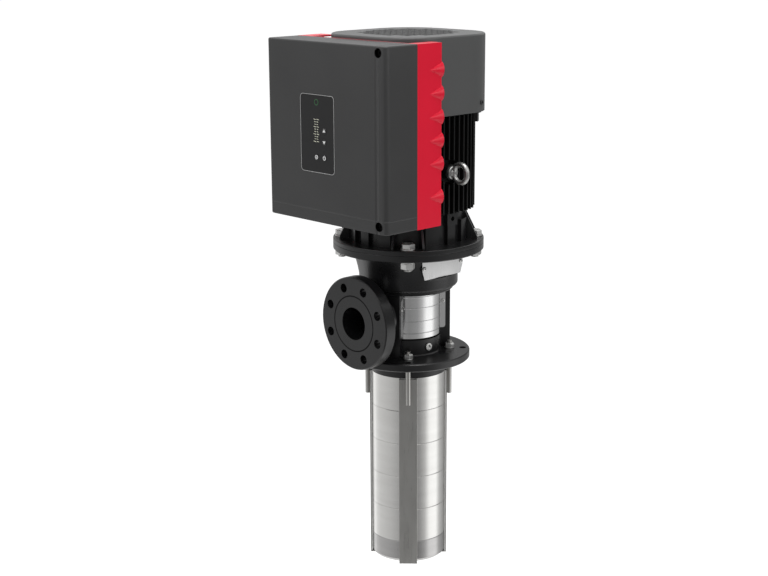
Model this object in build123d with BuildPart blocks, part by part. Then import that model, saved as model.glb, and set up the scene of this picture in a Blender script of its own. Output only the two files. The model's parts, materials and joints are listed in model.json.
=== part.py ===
from build123d import *
import math
import os

# Vertical multistage pump for the top of a tank: the chamber stack hangs in the liquid and the
# motor with its drive box stands above. Millimetres, +Z up, origin at the centre of the mounting
# plate's underside, discharge flange and drive box towards -Y.

# Clearances
RUNNING_CLEARANCE = 0.05
SEAT_CLEARANCE = 0.2
OVERCUT = 2.0
SCREW_TIP_GAP = 2.0
SMALL_CHAMFER = 1.0
CAP_HEAD_RATIO = 1.6
SOCKET_RATIO = 0.8
NECK_CLEARANCE = 0.3
AIR_GAP = 0.7

# Pump head casting
PLATE_RADIUS = 124.0
PLATE_THICKNESS = 16.0
PLATE_EDGE = 2.0
TANK_BOLT_PCD = 220.0
TANK_BOLT_HOLE = 14.0
SPIGOT_DEPTH = 26.0
HEAD_CAVITY_RADIUS = 58.0
HEAD_ROOF_THICKNESS = 18.0
HUB_RADIUS = 65.0
LEG_INNER_RADIUS = 63.0
HUB_HEIGHT = 32.0
SEAL_BORE_RADIUS = 30.0
LANTERN_TOP = 152.0
LANTERN_RING_RADIUS = 90.0
LANTERN_RING_THICKNESS = 7.5
LANTERN_RING_BORE = 60.0
LEG_OUTER_RADIUS = 86.0
WINDOW_HALF_ANGLE = 56.0

# Discharge, DN 65
DISCHARGE_HEIGHT = 94.0
DISCHARGE_REACH = 150.0
DISCHARGE_BORE = 65.0
DISCHARGE_FLANGE_RADIUS = 92.5
DISCHARGE_FLANGE_THICKNESS = 26.0
DISCHARGE_BOLT_PCD = 145.0
DISCHARGE_BOLT_HOLE = 18.0
DISCHARGE_BOLTS = 8
DISCHARGE_NECK_RADIUS = 46.0
NECK_ROOT_RADIUS = 38.0
NECK_ROOT_STEP = 6.0
FLARE_LENGTH = 22.0
FLARE_STEP = 6.0
FLARE_STEP_RISE = 5.0
FLARE_RISE = 12.0
NECK_ROOT_REACH = 72.0
SEALING_GROOVE_RADIUS = 55.0
SEALING_GROOVE_WIDTH = 2.0
SEALING_GROOVE_DEPTH = 1.2
RISER_BORE_RADIUS = 16.0
RISER_WALL = 6.0
RISER_OFFSET = 64.0

# Chamber stack
STAGES = 5
STAGE_PITCH = 70.0
CHAMBER_RADIUS = 76.5
CHAMBER_WALL = 3.0
JOINT_CHAMFER = 0.7
VANE_THICKNESS = 2.5
GUIDE_VANES = 6
GUIDE_VANE_ARC = ((28, 0), (50, 8), (78, 34))
GUIDE_SHAFT_GAP = 1.0
NECK_RING_PROUD = 1.5
GUIDE_DISC_HEIGHT = 36.0
GUIDE_DISC_RADIUS = 62.0
IMPELLER_RADIUS = 58.0
IMPELLER_HUB_RADIUS = 18.0
IMPELLER_EYE_RADIUS = 30.0
IMPELLER_SKIRT_WALL = 2.5
IMPELLER_SHROUD = 2.5
IMPELLER_VANES = 6
IMPELLER_VANE_ARC = ((24, 0), (38, 24), (60, 62))
IMPELLER_SKIRT_GAP = 0.5
IMPELLER_HUB_TAPER = 4.0
IMPELLER_HUB_RISE = 3.0
IMPELLER_HEIGHT = 25.0
IMPELLER_LIFT = 5.5
NECK_RING_WIDTH = 4.0
INLET_HEIGHT = 46.0
INLET_BORE_RADIUS = 44.0
INLET_EDGE = 8.0
INLET_FLOOR = 4.0
SPIDER_SHAFT_END = 8.0
SPIDER_THICKNESS = 8.0
SPIDER_HUB_RADIUS = 16.0
SPIDER_ARM_WIDTH = 6.0
STRAINER_RADIUS = 50.0
STRAINER_RINGS = ((34.0, 12), (18.0, 6))
STRAINER_THICKNESS = 1.5
STRAINER_HOLE_RADIUS = 5.0

# Straps and their studs
STRAPS = 4
STRAP_WIDTH = 36.5
STRAP_THICKNESS = 1.7
STRAP_FOOT = 18.4
STUD_RADIUS = 5.0
STUD_SINK = 0.4
STUD_WELD_DEPTH = 80.0
STUD_TOP = 31.0
STUD_HOLE_CLEARANCE = 0.5
STRAP_TOP = -28.0
NUT_WIDTH = 17.0
NUT_HEIGHT = 8.4
WASHER_THICKNESS = 2.0

# Shafts, seal and coupling
PUMP_SHAFT_RADIUS = 11.0
PUMP_SHAFT_TOP = 140.0
MOTOR_SHAFT_RADIUS = 19.0
MOTOR_SHAFT_REACH = 80.0
COUPLING_RADIUS = 36.0
COUPLING_SPLIT = 1.0
COUPLING_BOTTOM = 100.0
COUPLING_TOP = 215.0
COUPLING_SCREW_HEIGHTS = (120.0, 195.0)
COUPLING_SCREW_Y = 26.0
COUPLING_SCREW_SEAT = 14.0
COUPLING_SCREW_RADIUS = 4.0
SEAL_FLANGE_RADIUS = 40.0
SEAL_NECK_RADIUS = 24.0
SEAL_FLANGE_THICKNESS = 7.0
SEAL_SPIGOT_DEPTH = 14.0
SEAL_NECK_TOP = 66.0
SEAL_FACE_GAP = 0.3
SEAL_SHAFT_GAP = 2.0
SEAL_RING_STEP = 4.0
SEAL_RING_HEIGHT = 8.0
SEAL_DRIVER_STEP = 1.0
SEAL_DRIVER_HEIGHT = 18.0
SEAL_SCREW_CIRCLE = 35.0
SEAL_SCREW_RADIUS = 2.5
SEAL_SCREW_DEPTH = 12.0
PLUG_ANGLES = (-7.0, 173.0)
PLUG_HEIGHT = 32.3
PLUG_THREAD_RADIUS = 5.0
PLUG_HEAD_RADIUS = 7.5
PLUG_HEAD_HEIGHT = 3.0
PLUG_SOCKET_WIDTH = 6.0

# Motor stool
FLANGE_RADIUS = 150.0
FLANGE_BOLT_PCD = 265.0
FLANGE_BOLT_HOLE = 17.5
STOOL_FLANGE_THICKNESS = 14.0
STOOL_TOP = 239.0
STOOL_SPIGOT_RADIUS = 115.0
STOOL_SPIGOT_DEPTH = 4.0
COLLAR_RADIUS = 99.0
COLLAR_HEIGHT = 22.0
NECK_TOP_RADIUS = 113.0
STOOL_WALL = 10.0
STOOL_FLAT = 95.0
STOOL_WINDOW_HALF_WIDTH = 32.0
STOOL_WINDOW_CORNER = 8.0
STOOL_FLAT_MARGIN = 6.0
STOOL_WINDOW_BOTTOM = 182.0
STOOL_WINDOW_TOP = 220.0
NECK_MIDDLE_RADIUS = 104.0
NECK_MIDDLE_HEIGHT = 197.0
COLLAR_EDGE = 6.0
STOOL_FOOT_BORE = 64.0
STOOL_FOOT_THICKNESS = 11.0
STOOL_SCREW_CIRCLE = 76.0
STOOL_SCREW_ANGLES = (66.0, 114.0, 246.0, 294.0)
STOOL_SCREW_RADIUS = 4.0
STOOL_SCREW_DEPTH = 20.0
STOOL_BOSS_RADIUS = 6.0
STOOL_GUARD_SCREW_Y = 51.0
STOOL_GUARD_SCREW_Z = 203.5
STOOL_GUARD_HALF_WIDTH = 56.0
STOOL_GUARD_FOOT_HALF = 50.0
STOOL_GUARD_BOTTOM = 180.0
STOOL_GUARD_SHOULDER = 198.0
STOOL_GUARD_TOP = 222.0
GUARD_SHEET = 1.0
COUPLING_GUARD_RADIUS = 64.0
COUPLING_GUARD_BOTTOM = 51.0
COUPLING_GUARD_TOP = 143.0
GUARD_FLANGE_REACH = 76.0
GUARD_SCREW_HEIGHT = 111.0
GUARD_SCREW_CIRCLE = 71.0
GUARD_SCREW_RADIUS = 2.0
GUARD_SCREW_DEPTH = 9.0
GUARD_HEAD_RADIUS = 4.0
GUARD_HEAD_HEIGHT = 2.5
GUARD_FLANGE_BOTTOM = 55.0
GUARD_FLANGE_TOP = 132.0
GUARD_OVERLAP = 4.0
GUARD_CORNER = 5.0
GUARD_TIP_GAP = 1.0

# Motor
MOTOR_FLANGE_THICKNESS = 9.0
SHIELD_RADIUS = 111.0
SHIELD_WALL = 10.0
SHIELD_FLOOR = 4.0
SHIELD_HUB_WALL = 12.0
SHIELD_TOP = 309.0
SHIELD_LUG_TOP = 292.0
SHIELD_HOLE_HEIGHT = 299.0
SHIELD_HOLE_RADIUS = 4.5
SHIELD_HOLE_DEPTH = 2.0
SHIELD_RIB_REACH = 8.0
SHIELD_RIB_ANGLE = 22.0
SHIELD_RIB_HALF_ANGLE = 6.5
SHIELD_FOOT_HALF_ANGLE = 5.0
SHIELD_LUG_REACH = 11.0
SHIELD_LUG_OVERLAP = 6.0
GUSSET_ANGLE = 12.5
GUSSET_THICKNESS = 4.5
GUSSET_REACH = 139.0
GUSSET_TOP_REACH = 3.0
GUSSET_FOOT = 5.0
FIN_START = 1.0
SHAFT_PASSAGE_RADIUS = 25.0
HOUSING_TOP = 497.0
HOUSING_RADIUS = 104.0
HOUSING_BORE = 88.0
HOUSING_FLANGE = 8.0
BOSS_ROOT_DEPTH = 8.0
REAR_SHIELD_RADIUS = 112.0
REAR_SHIELD_THICKNESS = 10.0
REAR_HUB_WALL = 9.0
REAR_LIP = 3.0
REAR_SHAFT_GAP = 2.0
CORNER_RIB_RADIUS = 131.0
PAD_MIDDLE = 402.5
PAD_WIDTH = 124.0
PAD_HEIGHT = 135.0
LUG_BOTTOM = 480.0
LUG_REACH = 139.0
LUG_ANGLES = (32, -32, 148, 212)
LUG_ROOT_DEPTH = 4.0
LUG_WIDTH = 12.0
FIN_PITCH = 13.6
FIN_THICKNESS = 3.0
FIN_ROOT_DEPTH = 2.0
FINS_PER_HALF_SIDE = 5
FIN_ENVELOPE_HALF = 125.0
FIN_ENVELOPE_CORNER = 108.0
STATOR_BORE = 63.0
CORE_BOTTOM = 340.0
CORE_TOP = 450.0
WINDING_LENGTH = 22.0
WINDING_GAP = 4.0
WINDING_BORE_STEP = 3.0
CORE_SEAT_REACH = 20.0
ROTOR_SEAT_RADIUS = 24.0
MOTOR_SHAFT_TOP = 590.0
BEARING_OUTER_RADIUS = 40.0
BEARING_WIDTH = 18.0
DRIVE_BEARING_TOP = 282.0
DRIVE_SEAT_RADIUS = 20.0
BALLS = 9
DRIVE_BALL_RADIUS = 4.0
REAR_BALL_RADIUS = 3.4
RACE_RATIO = 0.7
REAR_BEARING_OUTER_RADIUS = 31.0
REAR_BEARING_BOTTOM = 500.0
REAR_BEARING_WIDTH = 16.0
REAR_SHAFT_RADIUS = 15.0
FAN_RADIUS = 105.0
FAN_DISC_INSET = 5.0
FAN_SHEET = 3.0
FAN_BLADE_ROOT = 2.0
FAN_BLADES = 9
FAN_HUB_RADIUS = 24.0
FAN_DISC_BOTTOM = 548.0
FAN_HEIGHT = 47.0
FAN_COVER_BOTTOM = 499.0
FAN_COVER_TOP = 648.0
FAN_COVER_HALF = 130.0
FAN_COVER_CORNER = 85.0
FAN_COVER_WALL = 2.5
FAN_COVER_EDGE = 4.0
GRILLE_ROWS = 6
GRILLE_PITCH = 16.0
GRILLE_HOLE = 13.0
GRILLE_RADIUS = 92.0
SCREW_RUN = 94.0
SCREW_RISE = 34.2
COVER_SCREW_HEIGHT = 517.0
COVER_SCREW_SHANK = 2.5
COVER_SCREW_LENGTH = 11.0
POST_HOLE_DEPTH = 12.0
COVER_SCREW_HEAD = 5.0
POST_ROOT = 30.0
POST_WIDTH = 14.0
POST_ABOVE_SCREW = 7.0
EYE_BOLT_HEIGHT = 391.0
EYE_BOLT_OFFSET = -10.0
EYE_RING_RADIUS = 17.5
EYE_RING_WIRE = 5.0
EYE_SEAT = 128.0
EYE_BOSS_RADIUS = 15.0
EYE_CLEAR_RADIUS = 24.0
EYE_SHANK_LENGTH = 17.0
EYE_TIP_GAP = 1.0
EYE_RING_SINK = 0.5
EYE_COLLAR_RADIUS = 12.5
EYE_COLLAR_HEIGHT = 6.0
BOLT_RADIUS = 8.0
BOLT_HEAD_WIDTH = 24.0
BOLT_HEAD_HEIGHT = 10.0
BOLT_WASHER_RADIUS = 14.0
BOLT_WASHER_THICKNESS = 2.5
BOLT_LENGTH = 45.0
BOLT_NUT_HEIGHT = 13.0

# Drive box
BOX_X = -5.0
BOX_HALF_WIDTH = 165.0
BOX_BOTTOM = 301.0
BOX_TOP = 641.0
BOX_FRONT = 215.0
BOX_PARTING = 134.0
BOX_REAR = 70.0
COVER_WALL = 4.0
COVER_CORNER = 12.0
SHELL_WALL = 3.0
BASE_THICKNESS = 14.0
BASE_GAP = 0.5
SINK_FIN_MIDDLE = 471.0
SINK_FIN_HEIGHT = 318.0
SINK_FIN_DEPTH = 62.0
SINK_FIN_THICKNESS = 2.5
SINK_FIN_PITCH = 8.0
SINK_FINS_PER_SIDE = 3
SHELF_WIDTH = 210.0
SHELF_FRONT = 195.0
SHELF_THICKNESS = 8.0
GLAND_PLACES = (-75.0, -25.0, 25.0, 75.0)
GLAND_Y = 171.0
GLAND_RADIUS = 10.0
GLAND_WIDTH = 24.0
GLAND_HEAD = 5.0
SHELL_LIP = 10.0
SHELL_SIDE_LIP = 2.0
SHELL_INNER_EDGE = 133.5
COVER_EDGE = 3.0
CREASE_HEIGHT = 325.0
CREASE_DEPTH = 2.0
CHANNEL_INSET = 22.4
CHANNEL_WIDTH = 10.4
CHANNEL_DEPTH = 0.8
BOX_SCREW_RADIUS = 3.0
BOX_SCREW_HEAD = 4.0
COVER_SCREW_INSET = 18.0
COVER_SCREW_FROM_BOTTOM = 15.0
COVER_SCREW_FROM_TOP = 12.0
RECESS_RADIUS = 8.8
RECESS_DEPTH = 8.0
RECESS_WALL = 2.7
SCOOP_HEIGHTS = (592.0, 548.7, 505.4, 462.1, 418.8, 356.5)
SCOOP_HALF_HEIGHT = 15.0
SCOOP_DEPTH = 10.0
SCOOP_PROUD = 5.5
SCOOP_LENGTH = 33.0
SCOOP_TIP = 0.8
SCOOP_WALL = 2.0
PANEL_X = -24.0
PANEL_Z = 470.0
PANEL_WIDTH = 96.0
PANEL_HEIGHT = 148.0
PANEL_CORNER = 8.0
PANEL_DEPTH = 0.8
KEY_RADIUS = 5.5
KEY_PROUD = 0.6
KEY_TRAVEL = 0.5
KEY_GAP = 0.3
KEY_FLOOR = 1.0
KEYS = {
    "key_up": (-4.5, 477.0),
    "key_down": (-4.5, 455.4),
    "key_connect": (-26.8, 426.0),
    "key_run_stop": (-4.5, 426.0),
}
KEY_STEM_RADIUS = 1.5
RING_OUTER = 6.0
RING_INNER = 4.3
RING_X = -25.5
RING_Z = 529.0
BOARD_Y = 206.0
BOARD_THICKNESS = 1.6
BOARD_OVERHANG_X = 6.0
BOARD_OVERHANG_Z = 8.0
BOARD_POST_INSET = 4.0
BOARD_POST_GAP = 1.0
BOARD_POST_RADIUS = 3.5
BOARD_STANDOFF = 6.4
LIGHT_PROUD = 0.4
LEVEL_ROWS = 10
LEVEL_PITCH = 4.6
LEVEL_BOTTOM = 455.5
LEVEL_X = -26.5
LEVEL_NARROW = 10.0
LEVEL_WIDE = 15.0
POWER_X = 0.0
POWER_Z = 470.0
POWER_WIDTH = 236.0
POWER_HEIGHT = 280.0
POWER_POST_INSET = 14.0
SOLDER_HOLE_RADIUS = 0.6
CAPACITOR_RADIUS = 15.0
CAPACITOR_PITCH = 40.0
CAPACITOR_Z = 586.0
CAPACITOR_HEIGHT = 30.0
TERMINAL_WIDTH = 180.0
TERMINAL_HEIGHT = 18.0
TERMINAL_Z = 345.0

# Sizes worked out from the ones above
hub_top = PLATE_THICKNESS + HUB_HEIGHT
cavity_top = hub_top - HEAD_ROOF_THICKNESS
collar_top = LANTERN_TOP + COLLAR_HEIGHT
stool_flange_bottom = STOOL_TOP - STOOL_FLANGE_THICKNESS
shield_wall_middle = SHIELD_RADIUS - SHIELD_WALL / 2
flange_top = STOOL_TOP + MOTOR_FLANGE_THICKNESS
discharge_flange_back = DISCHARGE_REACH - DISCHARGE_FLANGE_THICKNESS
stack_bottom = -SPIGOT_DEPTH - STAGES * STAGE_PITCH
inlet_bottom = stack_bottom - INLET_HEIGHT
chamber_inner = CHAMBER_RADIUS - CHAMBER_WALL
spider_bottom = stack_bottom - SPIDER_THICKNESS
spider_reach = chamber_inner - 2 * NECK_CLEARANCE
strap_inner = CHAMBER_RADIUS + SEAT_CLEARANCE
strap_outer = strap_inner + STRAP_THICKNESS
stud_circle = strap_outer + STUD_RADIUS - STUD_SINK
motor_shaft_bottom = STOOL_TOP - MOTOR_SHAFT_REACH
neck_ring_inner = IMPELLER_EYE_RADIUS + IMPELLER_SKIRT_WALL + NECK_CLEARANCE
neck_ring_outer = neck_ring_inner + NECK_RING_WIDTH

base_half_width = BOX_HALF_WIDTH - COVER_WALL - BASE_GAP
box_middle = 0.5 * (BOX_BOTTOM + BOX_TOP)
shell_inner = BOX_HALF_WIDTH - SHELL_WALL
scoop_x = BOX_HALF_WIDTH + SCOOP_PROUD - SCOOP_DEPTH
foil_back = BOX_FRONT - PANEL_DEPTH
key_pocket = BOX_FRONT - COVER_WALL + KEY_FLOOR
post_top = COVER_SCREW_HEIGHT + POST_ABOVE_SCREW
channel_x = BOX_X + BOX_HALF_WIDTH - CHANNEL_INSET
board_post_x = PANEL_WIDTH - BOARD_POST_INSET
board_post_z = PANEL_HEIGHT - BOARD_POST_INSET
cover_screw_x = BOX_X + BOX_HALF_WIDTH - COVER_SCREW_INSET
cover_screw_low = BOX_BOTTOM + COVER_SCREW_FROM_BOTTOM
cover_screw_high = BOX_TOP - COVER_SCREW_FROM_TOP

os.makedirs("parts", exist_ok=True)


def save(piece, name):
    """Label a finished piece and write it as a STEP file."""
    piece.part.label = name
    export_step(piece.part, f"parts/{name}.step")


def polar(radius, angle):
    """Point at a radius and an angle in degrees."""
    return (radius * math.cos(math.radians(angle)), radius * math.sin(math.radians(angle)))


def wedge(middle, half_angle):
    """Corners of a long triangle that covers the angles around a middle one."""
    return ((0, 0), polar(400, middle - half_angle), polar(400, middle + half_angle))


def section(plane, *points):
    """Closed face through points on a plane, given as (distance along it, height)."""
    with BuildSketch(plane) as face:
        with BuildLine():
            Polyline(*points, close=True)
        make_face()
    return face.sketch


def side_plane(angle):
    """Upright plane through the pump axis, its X pointing out along an angle."""
    along = polar(1, angle)
    return Plane(origin=(0, 0, 0), x_dir=(along[0], along[1], 0), z_dir=(along[1], -along[0], 0))


def outward_plane(x, y, z, angle):
    """Plane at a point, facing out along an angle, with local Y upwards."""
    along = polar(1, angle)
    return Plane(origin=(x, y, z), x_dir=(-along[1], along[0], 0), z_dir=(along[0], along[1], 0))


def envelope(offset):
    """How far out the housing fins reach at an offset along one side of the motor."""
    flat = FIN_ENVELOPE_HALF - FIN_ENVELOPE_CORNER
    if offset <= flat:
        return FIN_ENVELOPE_HALF
    return flat + math.sqrt(FIN_ENVELOPE_CORNER**2 - (offset - flat) ** 2)


# Pump head: mounting plate, spigot, hub, two legs, lantern ring and discharge in one casting
neck_top = DISCHARGE_HEIGHT + DISCHARGE_NECK_RADIUS
flange_edge = DISCHARGE_HEIGHT + DISCHARGE_FLANGE_RADIUS
riser_back = -RISER_OFFSET + RISER_WALL + OVERCUT
with BuildPart() as pump_head:
    plate = section(
        Plane.XZ,
        (HEAD_CAVITY_RADIUS, -SPIGOT_DEPTH),
        (CHAMBER_RADIUS, -SPIGOT_DEPTH),
        (CHAMBER_RADIUS, 0),
        (PLATE_RADIUS - PLATE_EDGE, 0),
        (PLATE_RADIUS, PLATE_EDGE),
        (PLATE_RADIUS, PLATE_THICKNESS - PLATE_EDGE),
        (PLATE_RADIUS - PLATE_EDGE, PLATE_THICKNESS),
        (HUB_RADIUS + PLATE_EDGE, PLATE_THICKNESS),
        (HUB_RADIUS, PLATE_THICKNESS + PLATE_EDGE),
        (HUB_RADIUS, hub_top),
        (SEAL_BORE_RADIUS, hub_top),
        (SEAL_BORE_RADIUS, cavity_top),
        (HEAD_CAVITY_RADIUS, cavity_top),
    )
    revolve(plate, axis=Axis.Z)
    with BuildSketch(Plane.XY.offset(PLATE_THICKNESS)):
        Circle(LEG_OUTER_RADIUS)
        Circle(LEG_INNER_RADIUS, mode=Mode.SUBTRACT)
        Polygon(*wedge(0, WINDOW_HALF_ANGLE), mode=Mode.SUBTRACT)
        Polygon(*wedge(180, WINDOW_HALF_ANGLE), mode=Mode.SUBTRACT)
    extrude(amount=LANTERN_TOP - PLATE_THICKNESS)
    ring = section(
        Plane.XZ,
        (LANTERN_RING_BORE, LANTERN_TOP - LANTERN_RING_THICKNESS),
        (LANTERN_RING_RADIUS - PLATE_EDGE, LANTERN_TOP - LANTERN_RING_THICKNESS),
        (LANTERN_RING_RADIUS, LANTERN_TOP - LANTERN_RING_THICKNESS + PLATE_EDGE),
        (LANTERN_RING_RADIUS, LANTERN_TOP),
        (LANTERN_RING_BORE, LANTERN_TOP),
    )
    revolve(ring, axis=Axis.Z)
    with BuildSketch(Plane.XY.offset(PLATE_THICKNESS)):
        with Locations((0, -RISER_OFFSET)):
            Circle(RISER_BORE_RADIUS + RISER_WALL)
    extrude(amount=DISCHARGE_HEIGHT - PLATE_THICKNESS)
    neck = section(
        Plane.YZ,
        (riser_back, DISCHARGE_HEIGHT),
        (riser_back, DISCHARGE_HEIGHT + NECK_ROOT_RADIUS),
        (-NECK_ROOT_REACH, DISCHARGE_HEIGHT + NECK_ROOT_RADIUS),
        (-NECK_ROOT_REACH - NECK_ROOT_STEP, neck_top),
        (-discharge_flange_back + FLARE_LENGTH, neck_top),
        (-discharge_flange_back + FLARE_STEP, neck_top + FLARE_STEP_RISE),
        (-discharge_flange_back, neck_top + FLARE_RISE),
        (-discharge_flange_back, flange_edge - PLATE_EDGE),
        (-discharge_flange_back - PLATE_EDGE, flange_edge),
        (-DISCHARGE_REACH + PLATE_EDGE, flange_edge),
        (-DISCHARGE_REACH, flange_edge - PLATE_EDGE),
        (-DISCHARGE_REACH, DISCHARGE_HEIGHT),
    )
    revolve(neck, axis=Axis((0, 0, DISCHARGE_HEIGHT), (0, 1, 0)))
    with BuildSketch(Plane.XZ.offset(RISER_OFFSET)):
        with Locations((0, DISCHARGE_HEIGHT)):
            Circle(DISCHARGE_BORE / 2)
    extrude(amount=DISCHARGE_REACH, mode=Mode.SUBTRACT)
    with BuildSketch(Plane.XZ.offset(discharge_flange_back - OVERCUT)):
        with Locations((0, DISCHARGE_HEIGHT)):
            with PolarLocations(DISCHARGE_BOLT_PCD / 2, DISCHARGE_BOLTS, 180 / DISCHARGE_BOLTS):
                Circle(DISCHARGE_BOLT_HOLE / 2)
    extrude(amount=DISCHARGE_FLANGE_THICKNESS + 2 * OVERCUT, mode=Mode.SUBTRACT)
    with BuildSketch(Plane.XZ.offset(DISCHARGE_REACH)):
        with Locations((0, DISCHARGE_HEIGHT)):
            Circle(SEALING_GROOVE_RADIUS + SEALING_GROOVE_WIDTH / 2)
            Circle(SEALING_GROOVE_RADIUS - SEALING_GROOVE_WIDTH / 2, mode=Mode.SUBTRACT)
    extrude(amount=-SEALING_GROOVE_DEPTH, mode=Mode.SUBTRACT)
    with BuildSketch(Plane.XY.offset(PLATE_THICKNESS / 2)):
        with Locations((0, -RISER_OFFSET)):
            Circle(RISER_BORE_RADIUS)
    extrude(amount=DISCHARGE_HEIGHT - PLATE_THICKNESS / 2, mode=Mode.SUBTRACT)
    with BuildSketch(Plane.XY):
        with PolarLocations(TANK_BOLT_PCD / 2, 4, 45):
            Circle(TANK_BOLT_HOLE / 2)
        with PolarLocations(stud_circle, STRAPS, 45):
            Circle(STUD_RADIUS + STUD_HOLE_CLEARANCE)
    extrude(amount=PLATE_THICKNESS, mode=Mode.SUBTRACT)
    with BuildSketch(Plane.XY.offset(LANTERN_TOP)):
        for angle in STOOL_SCREW_ANGLES:
            with Locations(polar(STOOL_SCREW_CIRCLE, angle)):
                Circle(STOOL_SCREW_RADIUS + RUNNING_CLEARANCE)
    extrude(amount=-STOOL_SCREW_DEPTH, mode=Mode.SUBTRACT)
    with BuildSketch(Plane.XY.offset(hub_top)):
        with PolarLocations(SEAL_SCREW_CIRCLE, 4, 45):
            Circle(SEAL_SCREW_RADIUS + RUNNING_CLEARANCE)
    extrude(amount=-SEAL_SCREW_DEPTH, mode=Mode.SUBTRACT)
    for angle in PLUG_ANGLES:
        with BuildSketch(outward_plane(0, 0, PLUG_HEIGHT, angle).offset(HEAD_CAVITY_RADIUS - OVERCUT)):
            Circle(PLUG_THREAD_RADIUS + RUNNING_CLEARANCE)
        extrude(amount=HUB_RADIUS, mode=Mode.SUBTRACT)
    for side in (1, -1):
        for angle in (WINDOW_HALF_ANGLE, -WINDOW_HALF_ANGLE):
            flange = side_plane(angle if side > 0 else 180 - angle)
            inward = -side if angle > 0 else side
            with BuildSketch(flange):
                with Locations((GUARD_SCREW_CIRCLE, GUARD_SCREW_HEIGHT)):
                    Circle(GUARD_SCREW_RADIUS + RUNNING_CLEARANCE)
            extrude(amount=inward * GUARD_SCREW_DEPTH, mode=Mode.SUBTRACT)
save(pump_head, "pump_head")

# Priming and drain plugs, each a round head with a hexagon socket
with BuildPart() as head_plugs:
    for angle in PLUG_ANGLES:
        seat = outward_plane(0, 0, PLUG_HEIGHT, angle)
        with BuildSketch(seat.offset(HEAD_CAVITY_RADIUS)):
            Circle(PLUG_THREAD_RADIUS)
        extrude(amount=HUB_RADIUS - HEAD_CAVITY_RADIUS)
        with BuildSketch(seat.offset(HUB_RADIUS)):
            Circle(PLUG_HEAD_RADIUS)
        extrude(amount=PLUG_HEAD_HEIGHT)
        with BuildSketch(seat.offset(HUB_RADIUS + PLUG_HEAD_HEIGHT)):
            RegularPolygon(PLUG_SOCKET_WIDTH / 2, 6, major_radius=False)
        extrude(amount=-PLUG_HEAD_HEIGHT, mode=Mode.SUBTRACT)
save(head_plugs, "head_plugs")

# Shaft seal housing on the hub
with BuildPart() as seal_housing:
    housing = section(
        Plane.XZ,
        (PUMP_SHAFT_RADIUS + SEAL_SHAFT_GAP, hub_top - SEAL_SPIGOT_DEPTH),
        (SEAL_BORE_RADIUS - RUNNING_CLEARANCE, hub_top - SEAL_SPIGOT_DEPTH),
        (SEAL_BORE_RADIUS - RUNNING_CLEARANCE, hub_top),
        (SEAL_FLANGE_RADIUS, hub_top),
        (SEAL_FLANGE_RADIUS, hub_top + SEAL_FLANGE_THICKNESS),
        (SEAL_NECK_RADIUS, hub_top + SEAL_FLANGE_THICKNESS),
        (SEAL_NECK_RADIUS, SEAL_NECK_TOP),
        (PUMP_SHAFT_RADIUS + SEAL_SHAFT_GAP, SEAL_NECK_TOP),
    )
    revolve(housing, axis=Axis.Z)
    with BuildSketch(Plane.XY.offset(hub_top)):
        with PolarLocations(SEAL_SCREW_CIRCLE, 4, 45):
            Circle(SEAL_SCREW_RADIUS + SEAT_CLEARANCE)
    extrude(amount=SEAL_FLANGE_THICKNESS, mode=Mode.SUBTRACT)
save(seal_housing, "seal_housing")

# Seal ring and its driver, turning with the pump shaft
with BuildPart() as seal_rotor:
    driver = section(
        Plane.XZ,
        (PUMP_SHAFT_RADIUS + RUNNING_CLEARANCE, SEAL_NECK_TOP + SEAL_FACE_GAP),
        (SEAL_NECK_RADIUS - SEAL_RING_STEP, SEAL_NECK_TOP + SEAL_FACE_GAP),
        (SEAL_NECK_RADIUS - SEAL_RING_STEP, SEAL_NECK_TOP + SEAL_RING_HEIGHT),
        (SEAL_NECK_RADIUS - SEAL_DRIVER_STEP, SEAL_NECK_TOP + SEAL_RING_HEIGHT),
        (SEAL_NECK_RADIUS - SEAL_DRIVER_STEP, SEAL_NECK_TOP + SEAL_DRIVER_HEIGHT),
        (PUMP_SHAFT_RADIUS + RUNNING_CLEARANCE, SEAL_NECK_TOP + SEAL_DRIVER_HEIGHT),
    )
    revolve(driver, axis=Axis.Z)
save(seal_rotor, "seal_rotor")

# Cap screws: four hold the stool on the lantern ring, four hold the seal housing
with BuildPart() as head_screws:
    with BuildSketch(Plane.XY.offset(LANTERN_TOP - STOOL_SCREW_DEPTH + SCREW_TIP_GAP)):
        for angle in STOOL_SCREW_ANGLES:
            with Locations(polar(STOOL_SCREW_CIRCLE, angle)):
                Circle(STOOL_SCREW_RADIUS)
    extrude(amount=STOOL_SCREW_DEPTH - SCREW_TIP_GAP + STOOL_FOOT_THICKNESS)
    with BuildSketch(Plane.XY.offset(LANTERN_TOP + STOOL_FOOT_THICKNESS)):
        for angle in STOOL_SCREW_ANGLES:
            with Locations(polar(STOOL_SCREW_CIRCLE, angle)):
                Circle(STOOL_SCREW_RADIUS * CAP_HEAD_RATIO)
                RegularPolygon(STOOL_SCREW_RADIUS * SOCKET_RATIO, 6, mode=Mode.SUBTRACT)
    extrude(amount=STOOL_SCREW_RADIUS * 2)
    with BuildSketch(Plane.XY.offset(hub_top - SEAL_SCREW_DEPTH + SCREW_TIP_GAP)):
        with PolarLocations(SEAL_SCREW_CIRCLE, 4, 45):
            Circle(SEAL_SCREW_RADIUS)
    extrude(amount=SEAL_SCREW_DEPTH - SCREW_TIP_GAP + SEAL_FLANGE_THICKNESS)
    with BuildSketch(Plane.XY.offset(hub_top + SEAL_FLANGE_THICKNESS)):
        with PolarLocations(SEAL_SCREW_CIRCLE, 4, 45):
            Circle(SEAL_SCREW_RADIUS * CAP_HEAD_RATIO)
            RegularPolygon(SEAL_SCREW_RADIUS * SOCKET_RATIO, 6, mode=Mode.SUBTRACT)
    extrude(amount=SEAL_SCREW_RADIUS * 2)
save(head_screws, "head_screws")

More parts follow.
